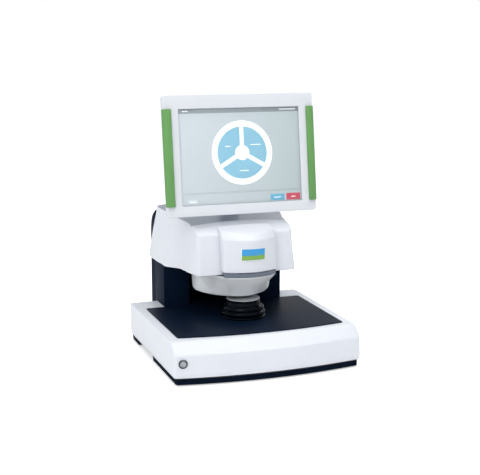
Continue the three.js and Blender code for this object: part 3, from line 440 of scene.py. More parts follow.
def keep(obj, body, slotName, material, *stands):
    if material is not None:
        obj.data.materials.clear()
        obj.data.materials.append(material)
    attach(obj, body)
    if stands:
        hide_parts(*stands)
    return obj


# A CAD piece with plain faces, copied, cleaned and given soft edges.
def eased(node, name, body, slotName, material, width=0.5, segments=3, angle=28):
    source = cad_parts[node]
    obj = bpy.data.objects.new(name, source.data.copy())
    bpy.context.scene.collection.objects.link(obj)
    work = bmesh.new()
    work.from_mesh(obj.data)
    bmesh.ops.remove_doubles(work, verts=work.verts, dist=0.02 * mm)
    bmesh.ops.dissolve_limit(work, angle_limit=math.radians(0.5), verts=work.verts, edges=work.edges)
    work.to_mesh(obj.data)
    work.free()
    mod = obj.modifiers.new("edges", "BEVEL")
    mod.width, mod.segments, mod.limit_method = width * mm, segments, "ANGLE"
    mod.angle_limit = math.radians(angle)
    mod.use_clamp_overlap = True
    applyModifiers(obj)
    soften(obj, 40)
    return keep(obj, body, slotName, material, node)


# Camera, light and floor. The lights' places are in metres.
view = {"x": -699.7, "y": -1965.5, "z": 633.8, "forward": (0.32911, 0.92551, -0.18739),
        "lens": 80.5, "sensor": 36.0}
camera = bpy.data.objects.new("camera", bpy.data.cameras.new("camera"))
camera.data.lens, camera.data.sensor_width = view["lens"], view["sensor"]
camera.data.clip_start, camera.data.clip_end = 0.05, 200
camera.location = (view["x"] * mm, (view["y"] + benchShift) * mm, view["z"] * mm)
camera.rotation_mode = "QUATERNION"
camera.rotation_quaternion = Vector(view["forward"]).to_track_quat("-Z", "Y")
bpy.context.scene.collection.objects.link(camera)
bpy.context.scene.camera = camera
bpy.context.scene.view_settings.view_transform = "Standard"


def softbox(name, at, aim, size, power):
    data = bpy.data.lights.new(name, "AREA")
    data.shape, data.size, data.size_y = "RECTANGLE", size, size
    data.energy = power
    obj = bpy.data.objects.new(name, data)
    obj.location = at
    obj.rotation_mode = "QUATERNION"
    obj.rotation_quaternion = (Vector(aim) - Vector(at)).to_track_quat("-Z", "Y")
    bpy.context.scene.collection.objects.link(obj)


lights = {"keyLight": ((-1.5, -2.0, 2.1), 1.6, 23), "topLight": ((0.2, -0.3, 2.6), 2.2, 34),
          "rimLight": ((1.8, 1.6, 1.8), 1.2, 10)}      # place, size in metres, watts
for name, (at, size, power) in lights.items():
    softbox(name, at, (0, 0, 0.25), size, power)

sky = {"left": 0.86, "right": 0.42, "colour": (0.97, 0.985, 1, 1)}


def makeSky():       # white to the camera, and a cool light that is stronger from the left
    world = bpy.data.worlds.new("studio")
    bpy.context.scene.world = world
    world.use_nodes = True
    tree = world.node_tree
    tree.nodes.clear()
    add = tree.nodes.new
    out, mix, path = add("ShaderNodeOutputWorld"), add("ShaderNodeMixShader"), add("ShaderNodeLightPath")
    seen, lit = add("ShaderNodeBackground"), add("ShaderNodeBackground")
    coords, axes = add("ShaderNodeTexCoord"), add("ShaderNodeSeparateXYZ")
    seen.inputs["Strength"].default_value = 1.0
    seen.inputs["Color"].default_value = (1, 1, 1, 1)
    lit.inputs["Color"].default_value = sky["colour"]
    link(tree, coords.outputs["Generated"], axes.inputs[0])
    fade = spread(tree, axes.outputs["X"], sky["left"], sky["right"], -0.9, 0.9)
    link(tree, fade, lit.inputs["Strength"])
    link(tree, path.outputs["Is Camera Ray"], mix.inputs[0])
    link(tree, lit.outputs[0], mix.inputs[1])
    link(tree, seen.outputs[0], mix.inputs[2])
    link(tree, mix.outputs[0], out.inputs[0])


floorSizes = {"half": 40000, "thick": 19.8, "drop": 0.2, "glow": 0.44, "glowBelow": 0.05}


def makeFloor():     # pale to the camera, with little light of its own on the analyser
    across = (-floorSizes["half"], floorSizes["half"])
    low = -floorSizes["drop"] - floorSizes["thick"]
    obj = box(across, across, (low, -floorSizes["drop"]), name="floor")
    pale = coated("paleFloor", [0.93, 0.93, 0.93, 1], 0.8, grain=30, depth=0.0, vary=0.004, level=0.1)
    tree = pale.node_tree
    shader = tree.nodes["Principled BSDF"]
    shader.inputs["Emission Color"].default_value = (1, 1, 1, 1)
    path = tree.nodes.new("ShaderNodeLightPath")
    glow = spread(tree, path.outputs["Is Camera Ray"], floorSizes["glowBelow"], floorSizes["glow"], 0, 1)
    link(tree, glow, shader.inputs["Emission Strength"])
    obj.data.materials.append(pale)


makeSky()
makeFloor()
print("camera, light and floor done")


# Base
base = {"half": 186.5, "back": 166.4, "front": -168.0, "bow": 18.4, "bottom": 16.1, "crease": 58.0,
        "top": 78.6, "corner": 6.0, "creaseIn": 2.5, "chamfer": 23.0, "topRound": 1.6, "lowRound": 1.2,
        "wall": 3.0, "spindleHole": 14.0}
button = {"x": -170.5, "z": 43.0, "cap": 6.0, "ring": 8.75, "out": 2.2, "capOut": 3.4, "hole": 8.05}


def baseSection(z):          # front line and bow of the base at a height
    share = np.interp(z, [base["bottom"], base["crease"], base["top"]], [0, 1, 2])
    front = np.interp(share, [0, 1, 2], [base["front"], base["front"] + base["creaseIn"],
                                         base["front"] + base["creaseIn"] + base["chamfer"]])
    bow = np.interp(share, [0, 1, 2], [base["bow"], base["bow"] * 0.95, base["bow"] * 0.55])
    return front, bow


def baseRing(z, inset, soft=1.2):
    heights = np.linspace(z - soft, z + soft, 7)
    sections = [baseSection(h) for h in heights]
    front = sum(s[0] for s in sections) / 7
    bow = sum(s[1] for s in sections) / 7
    outline = bowedOutline(base["half"] - inset, base["back"] - inset, front + inset, bow, base["corner"])
    return [(x, y, z) for x, y in outline]


def spindleHole():           # where the turntable's shaft goes through the base and its mat
    place = benchPlace @ Matrix.Translation((0, spindleY, 0))
    return cylinderPiece("hole", base["spindleHole"], 60, 90, place, "z")


def makeBase():
    low, high, r, lowRound = base["bottom"], base["top"], base["topRound"], base["lowRound"]
    outer = [baseRing(low, base["wall"]), baseRing(low, lowRound, 0.1)]
    outer += [baseRing(low + lowRound * math.sin(t), lowRound * (1 - math.cos(t)), 0.1)
              for t in np.linspace(0.3, math.pi / 2, 4)]
    outer += [baseRing(z, 0) for z in np.linspace(low + 6, high - r - 1, 22)]
    outer += [baseRing(high - r + r * math.sin(t), r * (1 - math.cos(t)), 0.4)
              for t in np.linspace(0, math.pi / 2, 7)]
    inner = [baseRing(z, base["wall"], 1) for z in np.linspace(high - base["wall"], low + 0.3, 5)]
    verts, faces = skin(outer + inner, ends=False, around=True)
    count = len(outer[0])
    topAt = len(outer) - 1
    faces = [f for f in faces if not (min(f) // count == topAt and max(f) // count == topAt + 1)]
    faces.append(tuple(topAt * count + k for k in range(count)))
    faces.append(tuple(reversed([(topAt + 1) * count + k for k in range(count)])))
    obj = newPiece("baseHousing", verts, faces, sharp=25)
    cutAway(obj, cylinderPiece("hole", button["hole"], -6, 12, buttonPlace), spindleHole())
    return keep(obj, "base", "white_shell", white, "base_housing")


def cylinderPiece(name, radius, low, high, place, axis="y", steps=64):
    outline = arc(0, 0, radius, 0, 360 - 360 / steps, steps - 1)
    verts, faces = roundedSlab(outline, low, high, 0.001, axis, steps=3)
    return newPiece(name, verts, faces, place)


buttonTurn = math.atan(2 * base["bow"] * button["x"] / base["half"] ** 2)
buttonY = (bowAt(button["x"], base["half"], base["front"], base["bow"])
           + base["creaseIn"] * (button["z"] - base["bottom"]) / (base["crease"] - base["bottom"]))
buttonPlace = (benchPlace @ Matrix.Translation((button["x"], buttonY, button["z"]))
               @ Matrix.Rotation(buttonTurn, 4, "Z"))
makeBase()

matSizes = {"half": 167.75, "back": 103.0, "front": -124.6, "bow": 16.9, "corner": 4.0, "edge": 0.6,
            "tongue": 73.2, "tongueBack": 149.7}
matLow, matHigh = (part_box("platform_mat")[i].z / mm for i in (0, 1))
matOutline = bowedOutline(matSizes["half"], matSizes["back"], matSizes["front"], matSizes["bow"],
                          matSizes["corner"])
tongue, tongueBack = matSizes["tongue"], matSizes["tongueBack"]
beforeLeftCorner = -8       # the tongue comes just before the left rear corner's arc
matOutline[beforeLeftCorner:beforeLeftCorner] = [
    (tongue, matSizes["back"]), (tongue, tongueBack), (-tongue, tongueBack), (-tongue, matSizes["back"])]
verts, faces = roundedSlab(matOutline, matLow, matHigh, 0.15, topRadius=matSizes["edge"])
workMat = newPiece("workMat", verts, faces, sharp=30)
cutAway(workMat, spindleHole())
keep(workMat, "base", "work_mat", matBlue, "platform_mat")

eased("base_plate", "basePlate", "base", "dark_sheet", darkSheet, 0.4)
eased("front_skirt", "frontSkirt", "base", "foot_rubber", rubberBlack, 1.0)
for side in ("left", "right"):
    eased(f"rear_foot_{side}", f"rearFoot{side.title()}", "base", "foot_rubber", rubberBlack, 1.0)
for i in range(1, 5):
    eased(f"rubber_pad_{i}", f"rubberPad{i}", "base", "foot_rubber", rubberBlack, 0.3, angle=40)
print("base done")


# Turntable with its dish, and the power button
spindle = (0.0, spindleY)
carrierLow, carrierHigh = (end.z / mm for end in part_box("dish_carrier"))
carrier = {"radius": 44.5, "low": carrierLow, "high": carrierHigh, "bore": 6.3,
           "boreTop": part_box("turntable_shaft")[1].z / mm + 0.3, "soft": 1.2}
dish = {"radius": 33.6, "wall": 1.0, "flare": 6.0, "lip": 0.8}


def makeCarrier():
    r, low, high = carrier["radius"], carrier["low"], carrier["high"]
    # Each step of the outline says how far in from the edge it is, and how far up.
    steps = [(1, 0), (0, 1), (0, 3.2), (3.5, 4.6), (0.8, 6.6), (0, 9.5), (0.8, 12.4), (4, 14.6), (2.8, 16.4),
             (2.5, 19), (4.5, 22.6), (8.5, 25.4), (10.5, 26.2), (10.5, high - 3.4 - low), (14, high - low)]
    outer = roundCorners([(r - inset, low + up) for inset, up in steps], carrier["soft"], 4, closedUp=False)
    bore, boreTop = carrier["bore"], carrier["boreTop"]
    inner = [(0, high), (0, boreTop), (bore, boreTop), (bore, low)]
    obj = turnedPiece("dishCarrier", outer + inner, spindle, 144, sharp=40)
    return keep(obj, "turntable", "gloss_black", glossBlack, "dish_carrier")


def makeDish():
    r, wall, flare, lip = dish["radius"], dish["wall"], dish["flare"], dish["lip"]
    low, high = (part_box("sample_dish")[i].z / mm for i in (0, 1))
    outside = [(0, low), (r - flare, low), (r - 1, high - lip - 0.4), (r, high - lip), (r, high)]
    hollow = [(r - wall, high), (r - flare - wall, low + wall), (9, low + wall), (8.2, low + wall + 0.3)]
    profile = roundCorners(outside + hollow, [0, 0.8, 0.5, 0.3, 0.3, 0.4, 0.8, 0.2, 0.2], 4, closedUp=False)
    profile += [(0, low + wall + 0.3)]
    obj = turnedPiece("sampleDish", profile, spindle, 144, sharp=40)
    return keep(obj, "turntable", "aluminium", dishMetal, "sample_dish")


def makeButton():
    ring, cap, out = button["ring"], button["cap"], button["out"]
    barrel = ring - 1
    profile = [(cap + 0.3, 9), (barrel, 9), (barrel, -0.3), (ring, -0.3), (ring, -1.1), (ring - 0.9, -out),
               (cap + 1.3, -out), (cap + 0.3, -out + 1.4)]
    place = buttonPlace @ Matrix.Rotation(math.radians(-90), 4, "X")
    bezel = turnedPiece("buttonBezel", [(r, y) for r, y in profile], (0, 0), 64, place, 30, 0.25)
    keep(bezel, "base", "chrome", ringChrome, "button_bezel")
    front = -button["capOut"]
    capProfile = [(0, 5.5), (cap, 5.5), (cap, front + 1.0), (cap - 0.5, front), (cap - 1.3, front + 0.2),
                  (cap - 2.6, front + 0.75), (cap - 4.4, front + 1.1), (0, front + 1.2)]
    key = turnedPiece("powerKey", capProfile, (0, 0), 64, place, 30, 0.15)
    keep(key, "power_key", "steel", brushed, "power_button")


makeCarrier()
makeDish()
makeButton()
print("turntable and button done")


# Column
for side in ("left", "right"):
    eased(f"column_{side}_post", f"{side}Post", "base", "navy_panel", navy, 1.6, 4)
eased("column_centre_panel", "centrePanel", "base", "gloss_black", recessBlack, 0.6)


# Head: white shell, lid in a silvery grey that paints the shade under the screen, nose and trim band
head = {"low": 172.5, "crease": 250.0, "high": 292.0, "wall": 3.0, "frontY": (-42, -30, 29),
        "backY": (194, 176, 166), "edge": 3.0, "lowEdge": 2.0, "creaseSoft": 1.6, "lid": 2.7, "seam": 1.6}
headSides = [      # half width and y, from the front corner to the rear one, at the three heights
    [(97, -42), (102, -36), (108, -10), (114, 40), (136, 67), (140, 152), (137, 194)],
    [(94, -30), (99, -24), (102, 4), (106, 40), (119, 85), (126, 150), (128, 176)],
    [(92, 29), (97, 32), (99, 36), (102, 42), (109, 92), (119, 150), (123, 166)]]
roof = {"crestY": 4.0, "crestZ": 264.6, "front": 0.21, "rear": 0.1, "changeY": 40.0, "crown": 5.5}
mast = {"half": 20.0, "front": pivot.y / mm - benchShift + 22, "depth": 36.0, "room": 1.0}


def heightShares(z, levels, soft):        # how much of each level's plan holds at a height
    low, middle, high = levels
    shares = [0.0, 0.0, 0.0]
    for shift in np.linspace(-soft, soft, 7):
        at = z + shift
        below = at < middle
        t = np.where(below, (at - low) / (middle - low), (at - middle) / (high - middle))
        shares[0] = shares[0] + np.where(below, 1 - t, 0) / 7
        shares[1] = shares[1] + np.where(below, t, 1 - t) / 7
        shares[2] = shares[2] + np.where(below, 0, t) / 7
    return shares


def roofAt(x, y):
    rise = 0.0
    for shift in np.linspace(-8, 8, 5):
        ahead = np.minimum(y + shift, roof["changeY"]) - roof["crestY"]
        behind = np.maximum(y + shift - roof["changeY"], 0)
        rise = rise + (roof["front"] * ahead + roof["rear"] * behind) / 5
    return roof["crestZ"] + rise + roof["crown"] * (1 - (x / 100) ** 2)


def headWalls(x, y, z):
    shares = heightShares(z, (head["low"], head["crease"], head["high"]), head["creaseSoft"])
    half = 0.0
    for share, side in zip(shares, headSides):
        xs, ys = [p[0] for p in side], [p[1] for p in side]
        width = sum(np.interp(y + shift, ys, xs) for shift in (-2.4, -1.2, 0, 1.2, 2.4)) / 5
        half = half + share * width
    front = sum(share * at for share, at in zip(shares, head["frontY"])) - y
    back = y - sum(share * at for share, at in zip(shares, head["backY"]))
    return np.abs(x) - half, front, back


def headOuter(x, y, z):
    side, front, back = headWalls(x, y, z)
    form = blendMax(side, front, head["edge"])
    form = blendMax(form, back, head["edge"])
    form = blendMax(form, z - roofAt(x, y), head["edge"])
    return blendMax(form, head["low"] - z, head["lowEdge"])


def headHollow(x, y, z):
    side, front, back = headWalls(x, y, z)
    form = blendMax(blendMax(side, front, head["edge"]), back, head["edge"])
    form = blendMax(form, z - roofAt(x, y), head["edge"]) + head["wall"]
    return np.maximum(form, head["low"] - 6 - z)


def aboveRoof(drop, startY):      # everything over the roof lowered by drop, behind a line
    rings = []
    for y in np.linspace(startY, 230, 70):
        low = [(x, y, float(roofAt(x, y)) - drop) for x in np.linspace(-160, 160, 41)]
        rings.append(low + [(160, y, 330), (-160, y, 330)])
    return newPiece("tool", *skin(rings))


nose = {"half": 55.0, "low": 180.3, "crease": 244.0, "high": 262.0, "endY": (-57, -51, -37.5),
        "bow": (18, 28, 20), "wall": 2.5, "backY": -18.0, "lap": 8.0, "edge": 2.8, "roofEdge": 4.0,
        "lowEdge": 1.6, "creaseSoft": 1.2}


def noseFace(x, z):
    shares = heightShares(z, (nose["low"], nose["crease"], nose["high"]), nose["creaseSoft"])
    endY = sum(share * at for share, at in zip(shares, nose["endY"]))
    bow = sum(share * at for share, at in zip(shares, nose["bow"]))
    return bowAt(x, nose["half"], endY, bow)


def noseForm(x, y, z, inset=0.0):
    front = noseFace(x, z) - y
    form = blendMax(np.abs(x) - nose["half"], front, nose["edge"])
    form = blendMax(form, z - roofAt(x, y), nose["roofEdge"])
    form = blendMax(form, nose["low"] - z, nose["lowEdge"]) + inset
    return np.maximum(form, y - nose["backY"] - nose["lap"] - inset)


def noseHollow(x, y, z):
    return noseForm(x, y, z, nose["wall"])


def behindCheeks():               # the space that the head's front already fills, and a seam
    rings = []
    for z in np.linspace(160, 300, 90):
        shares = heightShares(z, (head["low"], head["crease"], head["high"]), head["creaseSoft"])
        front = float(sum(share * at for share, at in zip(shares, head["frontY"])))
        start = min(front - head["seam"], nose["backY"])
        rings.append([(-150, start, z), (150, start, z), (150, 90, z), (-150, 90, z)])
    return newPiece("tool", *skin(rings))


# The fields are sampled in a box a little larger than the piece.
shell = moulded("headShell", headOuter, (-146, -48, 167), (146, 200, 300), 2.4)
lid = shell.copy()
lid.data = shell.data.copy()
lid.name = "headLid"
bpy.context.scene.collection.objects.link(lid)
cutAway(shell, moulded("tool", headHollow, (-146, -48, 160), (146, 200, 300), 3.0),
        aboveRoof(head["wall"], roof["crestY"] - 0.3))
keep(shell, "base", "white_shell", white, "head_shell")
carve(lid, aboveRoof(head["lid"], roof["crestY"]), "INTERSECT")
room = mast["room"]
slotY = (mast["front"] - room, mast["front"] + mast["depth"] + room)
cutAway(lid, box((-mast["half"] - room, mast["half"] + room), slotY, (240, 330)))
# The lid wears the silvery grey, painted shade under the screen.
keep(lid, "base", "silver_paint", shadedLidSilver, "head_top_cover")
noseShell = moulded("noseCover", noseForm, (-59, -86, 176), (59, -6, 280), 1.6)
cutAway(noseShell, moulded("tool", noseHollow, (-59, -86, 176), (59, 0, 280), 2.0), behindCheeks())
keep(noseShell, "base", "white_shell", white, "nose_cover")
print("head shells done")


band = {"half": 53.0, "high": 180.0, "height": 9.4, "depth": 10.0, "endY": -56.0, "bow": 18.0}


def bowedStrip(half, endY, bow, depth, steps=40):
    xs = np.linspace(-half, half, steps + 1)
    front = [(x, bowAt(x, nose["half"], endY, bow)) for x in xs]
    return front + [(x, y + depth) for x, y in reversed(front)]


verts, faces = roundedSlab(bowedStrip(band["half"], band["endY"], band["bow"], band["depth"]),
                           band["high"] - band["height"], band["high"], 1.0)
keep(newPiece("trimBand", verts, faces, sharp=40), "base", "silver_paint", bandSilver, "trim_band")


badge = {"half": 24.75, "low": 204.25, "high": 228.75, "thick": 1.0, "off": 0.7, "border": 1.3,
         "split": 214.6, "print": 0.2, "ink": 0.18}


def curvedPlate(name, half, low, high, off, thick, round, steps=36):
    rings = []
    for x in np.linspace(-half, half, steps + 1):
        edge = max(0.0, round - (half - abs(x)))
        trim = round - math.sqrt(max(0.0, round ** 2 - edge ** 2))
        section = roundRect(low + trim, high - trim, off, off + thick, thick * 0.3, 2)
        rings.append([(x, noseFace(x, z) - out, z) for z, out in section])
    verts, faces = skin(rings)
    return newPiece(name, verts, faces, sharp=40)


def makeBadge():
    low, high, split, inset, ink = (badge[key] for key in ("low", "high", "split", "border", "ink"))
    plate = curvedPlate("badgePlate", badge["half"], low, high, badge["off"],
                        badge["thick"] - badge["print"], 0.8)
    keep(plate, "base", "badge_print", badgeWhite, "badge_plate")
    out, half = badge["off"] + badge["thick"] - badge["print"], badge["half"] - inset
    upper = curvedPlate("badgeUpper", half, split, high - inset, out, ink, 0.1)
    lower = curvedPlate("badgeLower", half, low + inset, split, out, ink, 0.1)
    keep(upper, "base", "badge_print", badgeBlue)
    keep(lower, "base", "badge_print", badgeGreen)


badgeWhite = coated("badgeWhite", srgb(236, 240, 242), 0.3, grain=0.5, depth=0.004, vary=0.01)
badgeBlue = coated("badgeBlue", srgb(38, 152, 214), 0.28, grain=0.5, depth=0.004, vary=0.07, coat=0.3)
badgeGreen = coated("badgeGreen", srgb(122, 170, 66), 0.28, grain=0.5, depth=0.004, vary=0.07, coat=0.3)
makeBadge()


# Bowl under the head
bowlPlans = [     # height, circle centre, circle radius, front, half width of the front, its bow
    (123.2, 55, 76.5, -28, 23, 7), (126.5, 56, 79, -33, 26, 8), (135, 57, 79.5, -41, 33, 12),
    (157, 58, 80, -62, 46, 17), (170.2, 45, 86.5, -75, 53, 18)]
bowl = {"wall": 2.5, "back": 104.0, "cornerRound": 1.6, "backRound": 3.0, "flat": 0.3, "rim": 1.4, "lip": 0.9,
        "window": 21.0, "windowY": 5.0, "frontSteps": 24}


def bowlRing(z, inset, soft):
    plans = np.array(bowlPlans)
    values = [np.mean([np.interp(z + s, plans[:, 0], plans[:, i]) for s in np.linspace(-soft, soft, 7)])
              for i in range(1, 6)]
    centreY, radius, frontY, frontHalf, bow = values
    radius, frontHalf, frontY = radius - inset, frontHalf - inset * 0.5, frontY + inset
    endY = frontY + bow
    lean = math.atan2(endY - centreY, frontHalf)
    start = lean + math.acos(min(1, radius / math.hypot(frontHalf, centreY - endY)))
    end = math.asin((bowl["back"] - inset - centreY) / radius)
    right = arc(0, centreY, radius, math.degrees(start), math.degrees(end), 30)
    # The side is flatter than the arc, from the front corner to its widest point.
    side = np.array(right)
    widest = side[:, 0].argmax()
    chord = side[0] + np.linspace(0, 1, widest + 1)[:widest, None] * (side[widest] - side[0])
    side[:widest] += bowl["flat"] * (chord - side[:widest])
    right = [tuple(p) for p in side]
    steps = bowl["frontSteps"]
    front = [(x, bowAt(x, frontHalf, endY, bow)) for x in np.linspace(-frontHalf, frontHalf, steps + 1)]
    left = [(-x, y) for x, y in reversed(right)]
    whole = left + front + right
    radii = [0.0] * len(whole)
    for corner in (len(left), len(left) + steps):
        radii[corner] = bowl["cornerRound"]
    radii[0] = radii[-1] = bowl["backRound"]
    return [(x, y, z) for x, y in roundCorners(whole, radii, 5)]


def makeBowl():
    low, high = bowlPlans[0][0], bowlPlans[-1][0]
    rim, lip, wall = bowl["rim"], bowl["lip"], bowl["wall"]
    outer = [bowlRing(low, rim, 0.3)]
    outer += [bowlRing(low + rim * math.sin(t), rim * (1 - math.cos(t)), 0.3) for t in (0.35, 0.7, 1.1, 1.5)]
    outer += [bowlRing(z, 0, min(1.2, z - low)) for z in np.linspace(low + rim + 1.2, high - lip, 30)]
    outer += [bowlRing(high, lip, 0.1)]
    verts, faces = skin(outer)
    obj = newPiece("lightBowl", verts, faces, sharp=40)
    verts, faces = skin([bowlRing(z, wall, 0.5) for z in np.linspace(low + wall, high - 4, 12)]
                        + [bowlRing(high + 2, wall * 2 + 3, 0.1)])
    hollow = newPiece("cutter", verts, faces)
    windowHole = cylinderPiece("cutter", bowl["window"], low - 5, low + 8,
                               benchPlace @ Matrix.Translation((0, bowl["windowY"], 0)), "z")
    cutAway(obj, hollow, windowHole)
    soften(obj, 38)
    return keep(obj, "base", "silver_paint", bowlSilver, "light_bowl")


makeBowl()
windowRing = {"flange": 24.0, "flangeTop": 122.9, "neck": 20.7, "seat": 19.3, "seatDeep": 3.0, "clear": 17.0}


def makeWindowRing():
    low, high = (end.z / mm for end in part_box("window_ring"))
    flange, flangeTop, neck, seat, seatDeep, clear = windowRing.values()
    profile = [(clear, low), (flange, low), (flange, flangeTop), (neck, flangeTop), (neck, high),
               (seat, high), (seat, high - seatDeep), (clear, high - seatDeep)]
    obj = turnedPiece("windowRing", profile, (0, bowl["windowY"]), 96, sharp=30, round=0.3)
    keep(obj, "base", "gloss_black", glossBlack, "window_ring")


makeWindowRing()
print("bowl and window done")


# What repeats is one item on every point, each copy turned a step further.
def makeRepeatTree():
    tree = bpy.data.node_groups.new("repeatItem", "GeometryNodeTree")
    tree.is_modifier = True
    face = tree.interface
    inputs = {"Geometry": "Geometry", "Item": "Object", "First turn": "Vector", "Turn step": "Vector",
              "Item size": "Float", "Finish": "Material"}
    for label, kind in inputs.items():
        face.new_socket(label, in_out="INPUT", socket_type="NodeSocket" + kind)
    face.new_socket("Geometry", in_out="OUTPUT", socket_type="NodeSocketGeometry")
    add = tree.nodes.new
    given, made = add("NodeGroupInput"), add("NodeGroupOutput")
    item, copies = add("GeometryNodeObjectInfo"), add("GeometryNodeInstanceOnPoints")
    index, step = add("GeometryNodeInputIndex"), add("ShaderNodeVectorMath")
    turn, whole = add("FunctionNodeEulerToRotation"), add("GeometryNodeRealizeInstances")
    finish = add("GeometryNodeSetMaterial")
    step.operation = "MULTIPLY_ADD"
    joins = [(given, "Item", item, "Object"), (index, 0, step, 0), (given, "Turn step", step, 1),
             (given, "First turn", step, 2), (step, 0, turn, "Euler"), (given, "Geometry", copies, "Points"),
             (item, "Geometry", copies, "Instance"), (turn, "Rotation", copies, "Rotation"),
             (given, "Item size", copies, "Scale"), (copies, "Instances", whole, "Geometry"),
             (whole, "Geometry", finish, "Geometry"), (given, "Finish", finish, "Material"),
             (finish, "Geometry", made, "Geometry")]
    for source, output, target, entry in joins:
        link(tree, source.outputs[output], target.inputs[entry])
    return tree


repeatTree = makeRepeatTree()


# The points are in the place's own millimetres. The item is a mesh in metres about the origin.
def repeated(name, item, points, material, place=benchPlace, first=(0, 0, 0), step=(0, 0, 0), size=1.0):
    mesh = bpy.data.meshes.new(name)
    mesh.from_pydata([tuple(place @ Vector(p)) for p in points], [], [])
    obj = bpy.data.objects.new(name, mesh)
    bpy.context.scene.collection.objects.link(obj)
    mod = obj.modifiers.new("repeat", "NODES")
    mod.node_group = repeatTree
    values = {"Item": item, "First turn": first, "Turn step": step, "Item size": size, "Finish": material}
    for socket in repeatTree.interface.items_tree:
        if socket.in_out == "INPUT" and socket.name in values:
            mod[socket.identifier] = values[socket.name]
    applyModifiers(obj)
    soften(obj, 35)
    bpy.data.objects.remove(item)
    return obj


small = Matrix.Scale(mm, 4)


def screwItem(radius, height):      # a round head with a hexagon socket, its axis along +Z
    around = np.radians(np.arange(24) * 15)
    sixth = math.pi / 6
    flat = radius * 0.45 * math.cos(sixth)
    hexagon = [flat / math.cos((t + sixth) % (2 * sixth) - sixth) for t in around]
    rings = []
    for share, up in ((1, 0), (1, 0.35), (0.93, 0.7), (0.72, 0.95), (0.6, 1.0)):
        edge = radius * share
        rings.append([(edge * math.cos(t), edge * math.sin(t), height * up) for t in around])
    for up in (1.0, 0.35):
        rings.append([(h * math.cos(t), h * math.sin(t), height * up) for h, t in zip(hexagon, around)])
    return newPiece("item", *skin(rings), small, sharp=35)


# Screen: bezel, glass, display, rear housing and grips, in its own place about the tilt axis
screen = {"half": 153.75, "tall": 116.75, "face": -46.0, "bezel": 10.0, "lip": 2.0, "viewHalf": 123.0,
          "viewTall": 92.25, "drop": 3.3, "corner": 5.0, "frontRound": 2.2, "holeRound": 1.0,
          "rear": 23.7, "taper": 16.0, "gap": 0.3, "glass": 1.4, "wall": 2.5}
glassFront = screen["face"] + screen["lip"] + screen["gap"]
lcdFront = glassFront + screen["glass"] + screen["gap"]
lcdBack = screen["face"] + screen["bezel"] - screen["gap"]


def flatRing(outline, y):
    return [(x, y, z) for x, z in outline]


def outerRect(inset, corner=screen["corner"]):
    half, tall = screen["half"] - inset, screen["tall"] - inset
    return roundRect(-half, half, -tall, tall, max(corner - inset, 0.4), 8)


def viewRect(spare, corner=1.2):
    half, tall, drop = screen["viewHalf"] + spare, screen["viewTall"] + spare, screen["drop"]
    return roundRect(-half, half, -drop - tall, -drop + tall, corner, 8)


def makeBezel():
    front, back = screen["face"], screen["face"] + screen["bezel"]
    r, h = screen["frontRound"], screen["holeRound"]
    turns = [math.pi / 2 * i / 6 for i in range(7)]
    rings = [flatRing(outerRect(0.4), back), flatRing(outerRect(0), back - 0.4)]
    rings += [flatRing(outerRect(r * (1 - math.cos(t))), front + r * (1 - math.sin(t))) for t in turns]
    rings += [flatRing(viewRect(0.8 + h * (1 - math.sin(t)), 1.2 + h), front + h * (1 - math.cos(t)))
              for t in turns]
    ledge = front + screen["lip"]
    rings += [flatRing(viewRect(0.8), ledge), flatRing(viewRect(7, 3), ledge), flatRing(viewRect(7, 3), back)]
    obj = newPiece("screenBezel", *skin(rings, ends=False, around=True), screenPlace, sharp=28)
    return keep(obj, "screen", "white_shell", bezelWhite, "monitor_bezel")


def onScreen(name, outline, front, back, material, slot="display", soft=0.03, stands=()):
    verts, faces = roundedSlab(outline, front, back, soft, "y", 2)
    obj = newPiece(name, verts, faces, screenPlace, sharp=30)
    return keep(obj, "screen", slot, material, *stands)


def litSurface(name, left, right, glow, roughness=0.3):     # a display colour, lighter to the left as painted light across the panel
    material, tree, shader = nodesOf(name)
    coords = tree.nodes.new("ShaderNodeTexCoord")
    axes = tree.nodes.new("ShaderNodeSeparateXYZ")
    link(tree, coords.outputs["Object"], axes.inputs[0])
    reach = screen["viewHalf"] * mm
    # Painted light: the colour runs from the lighter left to the darker right across the panel.
    fade = between(tree, spread(tree, axes.outputs["X"], 0, 1, -reach, reach), left, right)
    lines = tree.nodes.new("ShaderNodeTexWave")
    lines.inputs["Scale"].default_value = 1 / (1.6 * mm)
    lines.bands_direction = "Z"
    link(tree, coords.outputs["Object"], lines.inputs["Vector"])
    ripple = between(tree, spread(tree, lines.outputs["Fac"], 0.0, 0.04, 0, 1), fade, srgb(120, 130, 140))
    link(tree, ripple, shader.inputs["Base Color"])
    link(tree, ripple, shader.inputs["Emission Color"])
    shader.inputs["Emission Strength"].default_value = glow
    shader.inputs["Roughness"].default_value = roughness
    shader.inputs["Specular IOR Level"].default_value = 0.2
    return material


wheel = {"x": 3.3, "z": 2.8, "radius": 62.2, "wedge": 51.0, "hub": 14.5, "spoke": 4.0}


def wedgeOutline(start, end):
    points = []
    for radius, first, last in ((wheel["wedge"], start, end), (wheel["hub"], end, start)):
        trim = math.degrees(math.asin(wheel["spoke"] / radius)) * (1 if first == start else -1)
        points += arc(wheel["x"], wheel["z"], radius, first + trim, last - trim, 28)
    return points


